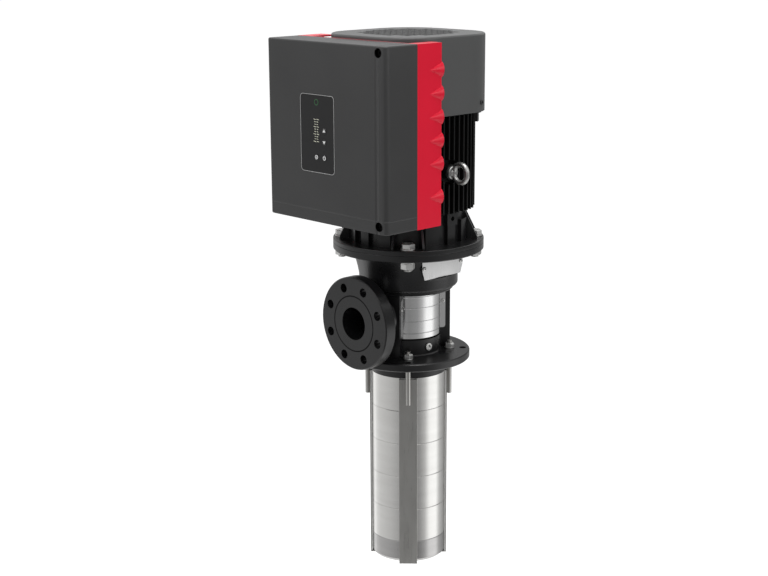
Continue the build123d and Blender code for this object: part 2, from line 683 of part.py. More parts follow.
# Motor stool: foot ring, collar, flared neck with a window each side, motor flange
with BuildPart() as motor_stool:
    with BuildSketch(Plane.XZ):
        with BuildLine():
            Polyline((STOOL_FOOT_BORE, LANTERN_TOP), (COLLAR_RADIUS - COLLAR_EDGE, LANTERN_TOP))
            RadiusArc(
                (COLLAR_RADIUS - COLLAR_EDGE, LANTERN_TOP),
                (COLLAR_RADIUS, LANTERN_TOP + COLLAR_EDGE),
                -COLLAR_EDGE,
            )
            Polyline((COLLAR_RADIUS, LANTERN_TOP + COLLAR_EDGE), (COLLAR_RADIUS, collar_top))
            ThreePointArc(
                (COLLAR_RADIUS, collar_top),
                (NECK_MIDDLE_RADIUS, NECK_MIDDLE_HEIGHT),
                (NECK_TOP_RADIUS, stool_flange_bottom),
            )
            Polyline(
                (NECK_TOP_RADIUS, stool_flange_bottom),
                (FLANGE_RADIUS - PLATE_EDGE, stool_flange_bottom),
                (FLANGE_RADIUS, stool_flange_bottom + PLATE_EDGE),
                (FLANGE_RADIUS, STOOL_TOP),
                (STOOL_SPIGOT_RADIUS + RUNNING_CLEARANCE, STOOL_TOP),
                (STOOL_SPIGOT_RADIUS + RUNNING_CLEARANCE, STOOL_TOP - STOOL_SPIGOT_DEPTH),
                (NECK_TOP_RADIUS - STOOL_WALL, STOOL_TOP - STOOL_SPIGOT_DEPTH),
                (NECK_TOP_RADIUS - STOOL_WALL, stool_flange_bottom),
            )
            ThreePointArc(
                (NECK_TOP_RADIUS - STOOL_WALL, stool_flange_bottom),
                (NECK_MIDDLE_RADIUS - STOOL_WALL, NECK_MIDDLE_HEIGHT),
                (COLLAR_RADIUS - STOOL_WALL, collar_top),
            )
            Polyline(
                (COLLAR_RADIUS - STOOL_WALL, collar_top),
                (COLLAR_RADIUS - STOOL_WALL, LANTERN_TOP + STOOL_FOOT_THICKNESS),
                (STOOL_FOOT_BORE, LANTERN_TOP + STOOL_FOOT_THICKNESS),
                (STOOL_FOOT_BORE, LANTERN_TOP),
            )
        make_face()
    revolve(axis=Axis.Z)
    for side in (1, -1):
        for across in (STOOL_GUARD_SCREW_Y, -STOOL_GUARD_SCREW_Y):
            with BuildSketch(Plane.YZ.offset(side * STOOL_FLAT)):
                with Locations((across, STOOL_GUARD_SCREW_Z)):
                    Circle(STOOL_BOSS_RADIUS)
            extrude(amount=-side * STOOL_BOSS_RADIUS)
    for side in (1, -1):
        window_middle = 0.5 * (STOOL_WINDOW_BOTTOM + STOOL_WINDOW_TOP)
        with BuildSketch(Plane.YZ.offset(side * STOOL_FLAT)):
            with Locations((0, window_middle)):
                Rectangle(2 * FLANGE_RADIUS, STOOL_WINDOW_TOP - STOOL_WINDOW_BOTTOM + STOOL_FLAT_MARGIN)
        extrude(amount=side * FLANGE_RADIUS, mode=Mode.SUBTRACT)
        with BuildSketch(Plane.YZ.offset(side * STOOL_FOOT_BORE)):
            with Locations((0, window_middle)):
                RectangleRounded(
                    2 * STOOL_WINDOW_HALF_WIDTH,
                    STOOL_WINDOW_TOP - STOOL_WINDOW_BOTTOM,
                    STOOL_WINDOW_CORNER,
                )
        extrude(amount=side * STOOL_FLAT, mode=Mode.SUBTRACT)
        for across in (STOOL_GUARD_SCREW_Y, -STOOL_GUARD_SCREW_Y):
            with BuildSketch(Plane.YZ.offset(side * STOOL_FLAT)):
                with Locations((across, STOOL_GUARD_SCREW_Z)):
                    Circle(GUARD_SCREW_RADIUS + RUNNING_CLEARANCE)
            extrude(amount=-side * GUARD_SCREW_DEPTH, mode=Mode.SUBTRACT)
    with BuildSketch(Plane.XY.offset(stool_flange_bottom)):
        with PolarLocations(FLANGE_BOLT_PCD / 2, 4, 45):
            Circle(FLANGE_BOLT_HOLE / 2)
    extrude(amount=STOOL_FLANGE_THICKNESS, mode=Mode.SUBTRACT)
    with BuildSketch(Plane.XY.offset(LANTERN_TOP)):
        for angle in STOOL_SCREW_ANGLES:
            with Locations(polar(STOOL_SCREW_CIRCLE, angle)):
                Circle(STOOL_SCREW_RADIUS + SEAT_CLEARANCE)
    extrude(amount=STOOL_FOOT_THICKNESS, mode=Mode.SUBTRACT)
save(motor_stool, "motor_stool")

# Flat sheet guards over the stool windows
for side, name in ((1, "stool_guard_right"), (-1, "stool_guard_left")):
    with BuildPart() as stool_guard:
        with BuildSketch(Plane.YZ.offset(side * STOOL_FLAT)):
            Polygon(
                (-STOOL_GUARD_HALF_WIDTH, STOOL_GUARD_SHOULDER),
                (-STOOL_GUARD_HALF_WIDTH, STOOL_GUARD_TOP),
                (STOOL_GUARD_HALF_WIDTH, STOOL_GUARD_TOP),
                (STOOL_GUARD_HALF_WIDTH, STOOL_GUARD_SHOULDER),
                (STOOL_GUARD_FOOT_HALF, STOOL_GUARD_BOTTOM),
                (-STOOL_GUARD_FOOT_HALF, STOOL_GUARD_BOTTOM),
            )
            for across in (STOOL_GUARD_SCREW_Y, -STOOL_GUARD_SCREW_Y):
                with Locations((across, STOOL_GUARD_SCREW_Z)):
                    Circle(GUARD_SCREW_RADIUS + SEAT_CLEARANCE, mode=Mode.SUBTRACT)
        extrude(amount=side * GUARD_SHEET)
    save(stool_guard, name)

# Curved sheet guards over the coupling windows, each with a flange along both legs
for middle, name in ((0, "coupling_guard_right"), (180, "coupling_guard_left")):
    with BuildPart() as coupling_guard:
        with BuildSketch(Plane.XY.offset(COUPLING_GUARD_BOTTOM)):
            Circle(COUPLING_GUARD_RADIUS)
            Circle(COUPLING_GUARD_RADIUS - GUARD_SHEET, mode=Mode.SUBTRACT)
            Polygon(*wedge(middle, WINDOW_HALF_ANGLE), mode=Mode.INTERSECT)
        extrude(amount=COUPLING_GUARD_TOP - COUPLING_GUARD_BOTTOM)
        for end in (WINDOW_HALF_ANGLE, -WINDOW_HALF_ANGLE):
            flange = side_plane(middle + end)
            inward = GUARD_SHEET if end > 0 else -GUARD_SHEET
            with BuildSketch(flange):
                with Locations(
                    (
                        0.5 * (COUPLING_GUARD_RADIUS + GUARD_FLANGE_REACH - GUARD_OVERLAP),
                        0.5 * (GUARD_FLANGE_BOTTOM + GUARD_FLANGE_TOP),
                    )
                ):
                    RectangleRounded(
                        GUARD_FLANGE_REACH - COUPLING_GUARD_RADIUS + GUARD_OVERLAP,
                        GUARD_FLANGE_TOP - GUARD_FLANGE_BOTTOM,
                        GUARD_CORNER,
                    )
                with Locations((GUARD_SCREW_CIRCLE, GUARD_SCREW_HEIGHT)):
                    Circle(GUARD_SCREW_RADIUS + SEAT_CLEARANCE, mode=Mode.SUBTRACT)
            extrude(amount=inward)
        with BuildSketch(Plane.XY):
            Circle(COUPLING_GUARD_RADIUS - GUARD_SHEET)
        extrude(amount=LANTERN_TOP, mode=Mode.SUBTRACT)
    save(coupling_guard, name)

# Screws of all four sheet guards
with BuildPart() as guard_screws:
    for side in (1, -1):
        for across in (STOOL_GUARD_SCREW_Y, -STOOL_GUARD_SCREW_Y):
            with BuildSketch(Plane.YZ.offset(side * (STOOL_FLAT + GUARD_SHEET))):
                with Locations((across, STOOL_GUARD_SCREW_Z)):
                    Circle(GUARD_SCREW_RADIUS)
            extrude(amount=-side * (GUARD_SCREW_DEPTH - GUARD_TIP_GAP))
            with BuildSketch(Plane.YZ.offset(side * (STOOL_FLAT + GUARD_SHEET))):
                with Locations((across, STOOL_GUARD_SCREW_Z)):
                    Circle(GUARD_HEAD_RADIUS)
            extrude(amount=side * GUARD_HEAD_HEIGHT)
    for middle in (0, 180):
        for end in (WINDOW_HALF_ANGLE, -WINDOW_HALF_ANGLE):
            outward = 1 if end > 0 else -1
            head_seat = side_plane(middle + end).offset(outward * GUARD_SHEET)
            with BuildSketch(head_seat):
                with Locations((GUARD_SCREW_CIRCLE, GUARD_SCREW_HEIGHT)):
                    Circle(GUARD_SCREW_RADIUS)
            extrude(amount=-outward * (GUARD_SCREW_DEPTH - GUARD_TIP_GAP))
            with BuildSketch(head_seat):
                with Locations((GUARD_SCREW_CIRCLE, GUARD_SCREW_HEIGHT)):
                    Circle(GUARD_HEAD_RADIUS)
            extrude(amount=outward * GUARD_HEAD_HEIGHT)
save(guard_screws, "guard_screws")

# Chambers: shell, floor with the neck ring's hole, and a guide disc with return vanes.
# The lowest one carries the spider of the lower bearing under its floor.
guide_vane = ThreePointArc(*(polar(radius, angle) for radius, angle in GUIDE_VANE_ARC))
for stage in range(STAGES):
    bottom = -SPIGOT_DEPTH - (stage + 1) * STAGE_PITCH
    with BuildPart() as chamber:
        shell = section(
            Plane.XZ,
            (neck_ring_outer + RUNNING_CLEARANCE, bottom),
            (CHAMBER_RADIUS - JOINT_CHAMFER, bottom),
            (CHAMBER_RADIUS, bottom + JOINT_CHAMFER),
            (CHAMBER_RADIUS, bottom + STAGE_PITCH - JOINT_CHAMFER),
            (CHAMBER_RADIUS - JOINT_CHAMFER, bottom + STAGE_PITCH),
            (chamber_inner, bottom + STAGE_PITCH),
            (chamber_inner, bottom + CHAMBER_WALL),
            (neck_ring_outer + RUNNING_CLEARANCE, bottom + CHAMBER_WALL),
        )
        revolve(shell, axis=Axis.Z)
        with BuildSketch(Plane.XY.offset(bottom + GUIDE_DISC_HEIGHT)):
            with PolarLocations(0, GUIDE_VANES):
                SlotArc(guide_vane, VANE_THICKNESS)
            Circle(chamber_inner + CHAMBER_WALL / 2, mode=Mode.INTERSECT)
        extrude(amount=STAGE_PITCH - GUIDE_DISC_HEIGHT)
        with BuildSketch(Plane.XY.offset(bottom + GUIDE_DISC_HEIGHT)):
            Circle(GUIDE_DISC_RADIUS)
            Circle(PUMP_SHAFT_RADIUS + GUIDE_SHAFT_GAP, mode=Mode.SUBTRACT)
        extrude(amount=VANE_THICKNESS)
        if bottom == stack_bottom:
            with BuildSketch(Plane.XY.offset(spider_bottom)):
                with PolarLocations(0.5 * spider_reach, 3):
                    Rectangle(spider_reach, SPIDER_ARM_WIDTH)
                Circle(SPIDER_HUB_RADIUS)
                Circle(PUMP_SHAFT_RADIUS + RUNNING_CLEARANCE, mode=Mode.SUBTRACT)
            extrude(amount=SPIDER_THICKNESS)
    save(chamber, f"chamber_{stage + 1}")

# Neck rings in the chamber floors
with BuildPart() as neck_rings:
    for stage in range(STAGES):
        bottom = -SPIGOT_DEPTH - (stage + 1) * STAGE_PITCH
        with BuildSketch(Plane.XY.offset(bottom)):
            Circle(neck_ring_outer)
            Circle(neck_ring_inner, mode=Mode.SUBTRACT)
        extrude(amount=CHAMBER_WALL + NECK_RING_PROUD)
save(neck_rings, "neck_rings")

# Impellers: front shroud with skirt, curved vanes, rear shroud with hub
impeller_vane = ThreePointArc(*(polar(radius, angle) for radius, angle in IMPELLER_VANE_ARC))
front_shroud = IMPELLER_LIFT + IMPELLER_SHROUD
rear_shroud = IMPELLER_LIFT + IMPELLER_HEIGHT - IMPELLER_SHROUD
hub_rise = rear_shroud + IMPELLER_SHROUD + IMPELLER_HUB_RISE
for stage in range(STAGES):
    bottom = -SPIGOT_DEPTH - (stage + 1) * STAGE_PITCH
    with BuildPart() as impeller:
        front = section(
            Plane.XZ,
            (IMPELLER_EYE_RADIUS, bottom + IMPELLER_SKIRT_GAP),
            (IMPELLER_EYE_RADIUS + IMPELLER_SKIRT_WALL, bottom + IMPELLER_SKIRT_GAP),
            (IMPELLER_EYE_RADIUS + IMPELLER_SKIRT_WALL, bottom + IMPELLER_LIFT),
            (IMPELLER_RADIUS, bottom + IMPELLER_LIFT),
            (IMPELLER_RADIUS, bottom + front_shroud),
            (IMPELLER_EYE_RADIUS, bottom + front_shroud),
        )
        revolve(front, axis=Axis.Z)
        rear = section(
            Plane.XZ,
            (PUMP_SHAFT_RADIUS + RUNNING_CLEARANCE, bottom + front_shroud),
            (IMPELLER_HUB_RADIUS - IMPELLER_HUB_TAPER, bottom + front_shroud),
            (IMPELLER_HUB_RADIUS, bottom + rear_shroud),
            (IMPELLER_RADIUS, bottom + rear_shroud),
            (IMPELLER_RADIUS, bottom + rear_shroud + IMPELLER_SHROUD),
            (IMPELLER_HUB_RADIUS, bottom + rear_shroud + IMPELLER_SHROUD),
            (IMPELLER_HUB_RADIUS, bottom + hub_rise),
            (PUMP_SHAFT_RADIUS + RUNNING_CLEARANCE, bottom + hub_rise),
        )
        revolve(rear, axis=Axis.Z)
        with BuildSketch(Plane.XY.offset(bottom + front_shroud)):
            with PolarLocations(0, IMPELLER_VANES):
                SlotArc(impeller_vane, VANE_THICKNESS)
            Circle(IMPELLER_RADIUS, mode=Mode.INTERSECT)
        extrude(amount=rear_shroud - front_shroud)
    save(impeller, f"impeller_{stage + 1}")

# Inlet part, and the strainer plate that lies in it
with BuildPart() as inlet_part:
    shell = section(
        Plane.XZ,
        (INLET_BORE_RADIUS, inlet_bottom),
        (CHAMBER_RADIUS, inlet_bottom),
        (CHAMBER_RADIUS, stack_bottom - JOINT_CHAMFER),
        (CHAMBER_RADIUS - JOINT_CHAMFER, stack_bottom),
        (chamber_inner, stack_bottom),
        (chamber_inner, inlet_bottom + INLET_FLOOR),
        (INLET_BORE_RADIUS, inlet_bottom + INLET_FLOOR),
    )
    revolve(shell, axis=Axis.Z)
    rims = inlet_part.edges().filter_by(GeomType.CIRCLE)
    fillet(rims.filter_by(lambda e: e.radius > CHAMBER_RADIUS - 0.01).sort_by(Axis.Z)[0], INLET_EDGE)
    rims = inlet_part.edges().filter_by(GeomType.CIRCLE)
    inner_rims = rims.filter_by(lambda e: abs(e.radius - chamber_inner) < 0.01).sort_by(Axis.Z)
    fillet(inner_rims[0], INLET_EDGE - CHAMBER_WALL)
save(inlet_part, "inlet_part")

with BuildPart() as inlet_strainer:
    with BuildSketch(Plane.XY.offset(inlet_bottom + INLET_FLOOR)):
        Circle(STRAINER_RADIUS)
        for radius, holes in STRAINER_RINGS:
            with PolarLocations(radius, holes):
                Circle(STRAINER_HOLE_RADIUS, mode=Mode.SUBTRACT)
    extrude(amount=STRAINER_THICKNESS)
save(inlet_strainer, "inlet_strainer")

# Straps: flat strip along the chambers, foot under the inlet part, welded stud at the top
strap_bottom = inlet_bottom - SEAT_CLEARANCE - STRAP_THICKNESS
for number in range(STRAPS):
    angle = 45 + 90 * number
    with BuildPart() as strap:
        with BuildSketch(Plane.XY.offset(strap_bottom)):
            with PolarLocations(strap_outer - STRAP_THICKNESS / 2, 1, angle):
                Rectangle(STRAP_THICKNESS, STRAP_WIDTH)
        extrude(amount=STRAP_TOP - strap_bottom)
        with BuildSketch(Plane.XY.offset(strap_bottom)):
            with PolarLocations(strap_outer - STRAP_FOOT / 2, 1, angle):
                Rectangle(STRAP_FOOT, STRAP_WIDTH)
        extrude(amount=STRAP_THICKNESS)
        with BuildSketch(Plane.XY.offset(-STUD_WELD_DEPTH)):
            with Locations(polar(stud_circle, angle)):
                Circle(STUD_RADIUS)
        extrude(amount=STUD_WELD_DEPTH + STUD_TOP)
    save(strap, f"strap_{number + 1}")

# Nuts and washers on the strap studs
nut_bottom = PLATE_THICKNESS + WASHER_THICKNESS
with BuildPart() as strap_nuts:
    with BuildSketch(Plane.XY.offset(PLATE_THICKNESS)):
        with PolarLocations(stud_circle, STRAPS, 45):
            Circle(STUD_RADIUS * 2)
            Circle(STUD_RADIUS + SEAT_CLEARANCE, mode=Mode.SUBTRACT)
    extrude(amount=WASHER_THICKNESS)
    with BuildSketch(Plane.XY.offset(nut_bottom)):
        with PolarLocations(stud_circle, STRAPS, 45):
            RegularPolygon(NUT_WIDTH / 2, 6, major_radius=False)
            Circle(STUD_RADIUS + RUNNING_CLEARANCE, mode=Mode.SUBTRACT)
    extrude(amount=NUT_HEIGHT)
save(strap_nuts, "strap_nuts")

# Pump shaft
with BuildPart() as pump_shaft:
    with BuildSketch(Plane.XY.offset(spider_bottom - SPIDER_SHAFT_END)):
        Circle(PUMP_SHAFT_RADIUS)
    extrude(amount=PUMP_SHAFT_TOP - spider_bottom + SPIDER_SHAFT_END)
    chamfer(pump_shaft.edges().filter_by(GeomType.CIRCLE), SMALL_CHAMFER)
save(pump_shaft, "pump_shaft")

# Coupling: two half shells clamped on both shafts
with BuildPart() as coupling_halves:
    clamp = section(
        Plane.XZ,
        (PUMP_SHAFT_RADIUS + RUNNING_CLEARANCE, COUPLING_BOTTOM),
        (COUPLING_RADIUS - SMALL_CHAMFER, COUPLING_BOTTOM),
        (COUPLING_RADIUS, COUPLING_BOTTOM + SMALL_CHAMFER),
        (COUPLING_RADIUS, COUPLING_TOP - SMALL_CHAMFER),
        (COUPLING_RADIUS - SMALL_CHAMFER, COUPLING_TOP),
        (MOTOR_SHAFT_RADIUS + RUNNING_CLEARANCE, COUPLING_TOP),
        (MOTOR_SHAFT_RADIUS + RUNNING_CLEARANCE, PUMP_SHAFT_TOP),
        (PUMP_SHAFT_RADIUS + RUNNING_CLEARANCE, PUMP_SHAFT_TOP),
    )
    revolve(clamp, axis=Axis.Z)
    with BuildSketch(Plane.XY.offset(COUPLING_BOTTOM)):
        Rectangle(COUPLING_SPLIT, 2 * COUPLING_RADIUS)
    extrude(amount=COUPLING_TOP - COUPLING_BOTTOM, mode=Mode.SUBTRACT)
    for height in COUPLING_SCREW_HEIGHTS:
        for across in (COUPLING_SCREW_Y, -COUPLING_SCREW_Y):
            with BuildSketch(Plane.YZ.offset(-COUPLING_RADIUS)):
                with Locations((across, height)):
                    Circle(COUPLING_SCREW_RADIUS + RUNNING_CLEARANCE)
            extrude(amount=2 * COUPLING_RADIUS, mode=Mode.SUBTRACT)
            with BuildSketch(Plane.YZ.offset(COUPLING_SCREW_SEAT)):
                with Locations((across, height)):
                    Circle(COUPLING_SCREW_RADIUS * CAP_HEAD_RATIO + SEAT_CLEARANCE)
            extrude(amount=COUPLING_RADIUS, mode=Mode.SUBTRACT)
save(coupling_halves, "coupling_halves")

with BuildPart() as coupling_screws:
    for height in COUPLING_SCREW_HEIGHTS:
        for across in (COUPLING_SCREW_Y, -COUPLING_SCREW_Y):
            with BuildSketch(Plane.YZ.offset(-COUPLING_SCREW_SEAT)):
                with Locations((across, height)):
                    Circle(COUPLING_SCREW_RADIUS)
            extrude(amount=2 * COUPLING_SCREW_SEAT)
            with BuildSketch(Plane.YZ.offset(COUPLING_SCREW_SEAT)):
                with Locations((across, height)):
                    Circle(COUPLING_SCREW_RADIUS * CAP_HEAD_RATIO)
                    RegularPolygon(COUPLING_SCREW_RADIUS * SOCKET_RATIO, 6, mode=Mode.SUBTRACT)
            extrude(amount=2 * COUPLING_SCREW_RADIUS)
save(coupling_screws, "coupling_screws")

# Motor drive-end shield: flange, spigot, bearing seat, wall with lugs and ribs
with BuildPart() as drive_end_shield:
    shield = section(
        Plane.XZ,
        (SHAFT_PASSAGE_RADIUS, STOOL_TOP - STOOL_SPIGOT_DEPTH),
        (STOOL_SPIGOT_RADIUS, STOOL_TOP - STOOL_SPIGOT_DEPTH),
        (STOOL_SPIGOT_RADIUS, STOOL_TOP),
        (FLANGE_RADIUS, STOOL_TOP),
        (FLANGE_RADIUS, flange_top),
        (SHIELD_RADIUS, flange_top),
        (SHIELD_RADIUS, SHIELD_TOP),
        (SHIELD_RADIUS - SHIELD_WALL, SHIELD_TOP),
        (SHIELD_RADIUS - SHIELD_WALL, flange_top + SHIELD_FLOOR),
        (BEARING_OUTER_RADIUS + SHIELD_HUB_WALL, flange_top + SHIELD_FLOOR),
        (BEARING_OUTER_RADIUS + SHIELD_HUB_WALL, DRIVE_BEARING_TOP),
        (BEARING_OUTER_RADIUS, DRIVE_BEARING_TOP),
        (BEARING_OUTER_RADIUS, DRIVE_BEARING_TOP - BEARING_WIDTH),
        (SHAFT_PASSAGE_RADIUS, DRIVE_BEARING_TOP - BEARING_WIDTH),
    )
    revolve(shield, axis=Axis.Z)
    with BuildSketch(Plane.XY.offset(flange_top)):
        for middle in (0, 90, 180, 270):
            Polygon(*wedge(middle, SHIELD_FOOT_HALF_ANGLE))
            Polygon(*wedge(middle - SHIELD_RIB_ANGLE, SHIELD_RIB_HALF_ANGLE))
            Polygon(*wedge(middle + SHIELD_RIB_ANGLE, SHIELD_RIB_HALF_ANGLE))
        Circle(SHIELD_RADIUS + SHIELD_RIB_REACH, mode=Mode.INTERSECT)
        Circle(shield_wall_middle, mode=Mode.SUBTRACT)
    extrude(amount=SHIELD_LUG_TOP - flange_top)
    with BuildSketch(Plane.XY.offset(SHIELD_LUG_TOP - SHIELD_LUG_OVERLAP)):
        for middle in (0, 90, 180, 270):
            Polygon(*wedge(middle, SHIELD_RIB_HALF_ANGLE))
        Circle(SHIELD_RADIUS + SHIELD_LUG_REACH, mode=Mode.INTERSECT)
        Circle(shield_wall_middle, mode=Mode.SUBTRACT)
    extrude(amount=SHIELD_TOP - SHIELD_LUG_TOP + SHIELD_LUG_OVERLAP)
    for middle in (45, 135, 225, 315):
        for turn in (-GUSSET_ANGLE, GUSSET_ANGLE):
            gusset = section(
                side_plane(middle + turn),
                (shield_wall_middle, flange_top - SHIELD_FLOOR),
                (GUSSET_REACH, flange_top - SHIELD_FLOOR),
                (GUSSET_REACH, flange_top + GUSSET_FOOT),
                (SHIELD_RADIUS + GUSSET_TOP_REACH, SHIELD_TOP - GUSSET_FOOT),
                (shield_wall_middle, SHIELD_TOP - GUSSET_FOOT),
            )
            extrude(gusset, amount=GUSSET_THICKNESS / 2, both=True)
    for angle in (0, 90, 180, 270):
        wall = outward_plane(0, 0, SHIELD_HOLE_HEIGHT, angle)
        with BuildSketch(wall.offset(SHIELD_RADIUS - SHIELD_HOLE_DEPTH)):
            Circle(SHIELD_HOLE_RADIUS)
        extrude(amount=SHIELD_RADIUS, mode=Mode.SUBTRACT)
    with BuildSketch(Plane.XY.offset(STOOL_TOP)):
        with PolarLocations(FLANGE_BOLT_PCD / 2, 4, 45):
            Circle(FLANGE_BOLT_HOLE / 2)
    extrude(amount=MOTOR_FLANGE_THICKNESS, mode=Mode.SUBTRACT)
save(drive_end_shield, "drive_end_shield")

# Flange bolts with the washers under their heads, and the nuts with theirs
bolt_seat = flange_top + BOLT_WASHER_THICKNESS
nut_top = stool_flange_bottom - BOLT_WASHER_THICKNESS
with BuildPart() as motor_bolts:
    with BuildSketch(Plane.XY.offset(bolt_seat - BOLT_LENGTH)):
        with PolarLocations(FLANGE_BOLT_PCD / 2, 4, 45):
            Circle(BOLT_RADIUS)
    extrude(amount=BOLT_LENGTH)
    with BuildSketch(Plane.XY.offset(bolt_seat)):
        with PolarLocations(FLANGE_BOLT_PCD / 2, 4, 45):
            RegularPolygon(BOLT_HEAD_WIDTH / 2, 6, major_radius=False)
    extrude(amount=BOLT_HEAD_HEIGHT)
    with BuildSketch(Plane.XY.offset(flange_top)):
        with PolarLocations(FLANGE_BOLT_PCD / 2, 4, 45):
            Circle(BOLT_WASHER_RADIUS)
            Circle(BOLT_RADIUS + SEAT_CLEARANCE, mode=Mode.SUBTRACT)
    extrude(amount=BOLT_WASHER_THICKNESS)
save(motor_bolts, "motor_bolts")

with BuildPart() as motor_nuts:
    with BuildSketch(Plane.XY.offset(nut_top)):
        with PolarLocations(FLANGE_BOLT_PCD / 2, 4, 45):
            Circle(BOLT_WASHER_RADIUS)
            Circle(BOLT_RADIUS + SEAT_CLEARANCE, mode=Mode.SUBTRACT)
    extrude(amount=BOLT_WASHER_THICKNESS)
    with BuildSketch(Plane.XY.offset(nut_top)):
        with PolarLocations(FLANGE_BOLT_PCD / 2, 4, 45):
            RegularPolygon(BOLT_HEAD_WIDTH / 2, 6, major_radius=False)
            Circle(BOLT_RADIUS + RUNNING_CLEARANCE, mode=Mode.SUBTRACT)
    extrude(amount=-BOLT_NUT_HEIGHT)
save(motor_nuts, "motor_nuts")

# Stator housing: finned barrel, drive box pad, lifting bosses and fan cover lugs
with BuildPart() as stator_housing:
    barrel = section(
        Plane.XZ,
        (HOUSING_BORE, SHIELD_TOP),
        (SHIELD_RADIUS, SHIELD_TOP),
        (SHIELD_RADIUS, SHIELD_TOP + HOUSING_FLANGE),
        (HOUSING_RADIUS, SHIELD_TOP + HOUSING_FLANGE),
        (HOUSING_RADIUS, HOUSING_TOP - HOUSING_FLANGE),
        (REAR_SHIELD_RADIUS, HOUSING_TOP - HOUSING_FLANGE),
        (REAR_SHIELD_RADIUS, HOUSING_TOP),
        (HOUSING_BORE, HOUSING_TOP),
    )
    revolve(barrel, axis=Axis.Z)
    with BuildSketch(Plane.XY.offset(SHIELD_TOP + FIN_START)):
        with PolarLocations(0, 4):
            for number in range(-FINS_PER_HALF_SIDE, FINS_PER_HALF_SIDE + 1):
                offset = number * FIN_PITCH
                root = math.sqrt(HOUSING_RADIUS**2 - offset**2) - FIN_ROOT_DEPTH
                tip = envelope(abs(offset) + FIN_THICKNESS / 2)
                with Locations(((root + tip) / 2, offset)):
                    Rectangle(tip - root, FIN_THICKNESS)
        with PolarLocations(0.5 * (HOUSING_RADIUS - FIN_ROOT_DEPTH + CORNER_RIB_RADIUS), 4, 45):
            Rectangle(CORNER_RIB_RADIUS - HOUSING_RADIUS + FIN_ROOT_DEPTH, FIN_THICKNESS)
    extrude(amount=HOUSING_TOP - FIN_START - SHIELD_TOP)
    with BuildSketch(Plane.XZ.offset(HOUSING_RADIUS - BOSS_ROOT_DEPTH)):
        with Locations((0, PAD_MIDDLE)):
            Rectangle(PAD_WIDTH, PAD_HEIGHT)
    extrude(amount=BOX_PARTING - HOUSING_RADIUS + BOSS_ROOT_DEPTH)
    for side in (1, -1):
        with BuildSketch(Plane.YZ.offset(side * HOUSING_RADIUS)):
            with Locations((EYE_BOLT_OFFSET, EYE_BOLT_HEIGHT)):
                Circle(EYE_CLEAR_RADIUS)
        extrude(amount=side * HOUSING_RADIUS, mode=Mode.SUBTRACT)
        with BuildSketch(Plane.YZ.offset(side * (HOUSING_RADIUS - BOSS_ROOT_DEPTH))):
            with Locations((EYE_BOLT_OFFSET, EYE_BOLT_HEIGHT)):
                Circle(EYE_BOSS_RADIUS)
        extrude(amount=side * (EYE_SEAT - HOUSING_RADIUS + BOSS_ROOT_DEPTH))
        with BuildSketch(Plane.YZ.offset(side * (EYE_SEAT - EYE_SHANK_LENGTH - EYE_TIP_GAP))):
            with Locations((EYE_BOLT_OFFSET, EYE_BOLT_HEIGHT)):
                Circle(EYE_RING_WIRE + RUNNING_CLEARANCE)
        extrude(amount=side * HOUSING_RADIUS, mode=Mode.SUBTRACT)
    with BuildSketch(Plane.XY.offset(LUG_BOTTOM)):
        for angle in LUG_ANGLES:
            with PolarLocations(0.5 * (HOUSING_RADIUS + LUG_REACH - LUG_ROOT_DEPTH), 1, angle):
                Rectangle(LUG_REACH - HOUSING_RADIUS + LUG_ROOT_DEPTH, LUG_WIDTH)
    extrude(amount=HOUSING_TOP - LUG_BOTTOM)
save(stator_housing, "stator_housing")

# Laminated core and windings in the housing, core on the shaft
with BuildPart() as stator_core:
    with BuildSketch(Plane.XY.offset(CORE_BOTTOM)):
        Circle(HOUSING_BORE - RUNNING_CLEARANCE)
        Circle(STATOR_BORE, mode=Mode.SUBTRACT)
    extrude(amount=CORE_TOP - CORE_BOTTOM)
save(stator_core, "stator_core")

with BuildPart() as stator_windings:
    for start in (CORE_BOTTOM - WINDING_LENGTH, CORE_TOP):
        with BuildSketch(Plane.XY.offset(start)):
            Circle(HOUSING_BORE - WINDING_GAP)
            Circle(STATOR_BORE + WINDING_BORE_STEP, mode=Mode.SUBTRACT)
        extrude(amount=WINDING_LENGTH)
save(stator_windings, "stator_windings")

with BuildPart() as rotor_core:
    with BuildSketch(Plane.XY.offset(CORE_BOTTOM)):
        Circle(STATOR_BORE - AIR_GAP)
        Circle(ROTOR_SEAT_RADIUS + RUNNING_CLEARANCE, mode=Mode.SUBTRACT)
    extrude(amount=CORE_TOP - CORE_BOTTOM)
save(rotor_core, "rotor_core")

# Motor shaft with its bearing seats, core seat and fan seat
with BuildPart() as motor_shaft:
    shaft = section(
        Plane.XZ,
        (0, motor_shaft_bottom),
        (MOTOR_SHAFT_RADIUS - SMALL_CHAMFER, motor_shaft_bottom),
        (MOTOR_SHAFT_RADIUS, motor_shaft_bottom + SMALL_CHAMFER),
        (MOTOR_SHAFT_RADIUS, DRIVE_BEARING_TOP - BEARING_WIDTH),
        (DRIVE_SEAT_RADIUS, DRIVE_BEARING_TOP - BEARING_WIDTH),
        (DRIVE_SEAT_RADIUS, DRIVE_BEARING_TOP),
        (ROTOR_SEAT_RADIUS, DRIVE_BEARING_TOP + SMALL_CHAMFER),
        (ROTOR_SEAT_RADIUS, CORE_TOP + CORE_SEAT_REACH),
        (DRIVE_SEAT_RADIUS, CORE_TOP + CORE_SEAT_REACH),
        (DRIVE_SEAT_RADIUS, REAR_BEARING_BOTTOM),
        (REAR_SHAFT_RADIUS, REAR_BEARING_BOTTOM),
        (REAR_SHAFT_RADIUS, MOTOR_SHAFT_TOP - SMALL_CHAMFER),
        (REAR_SHAFT_RADIUS - SMALL_CHAMFER, MOTOR_SHAFT_TOP),
        (0, MOTOR_SHAFT_TOP),
    )
    revolve(shaft, axis=Axis.Z)
save(motor_shaft, "motor_shaft")

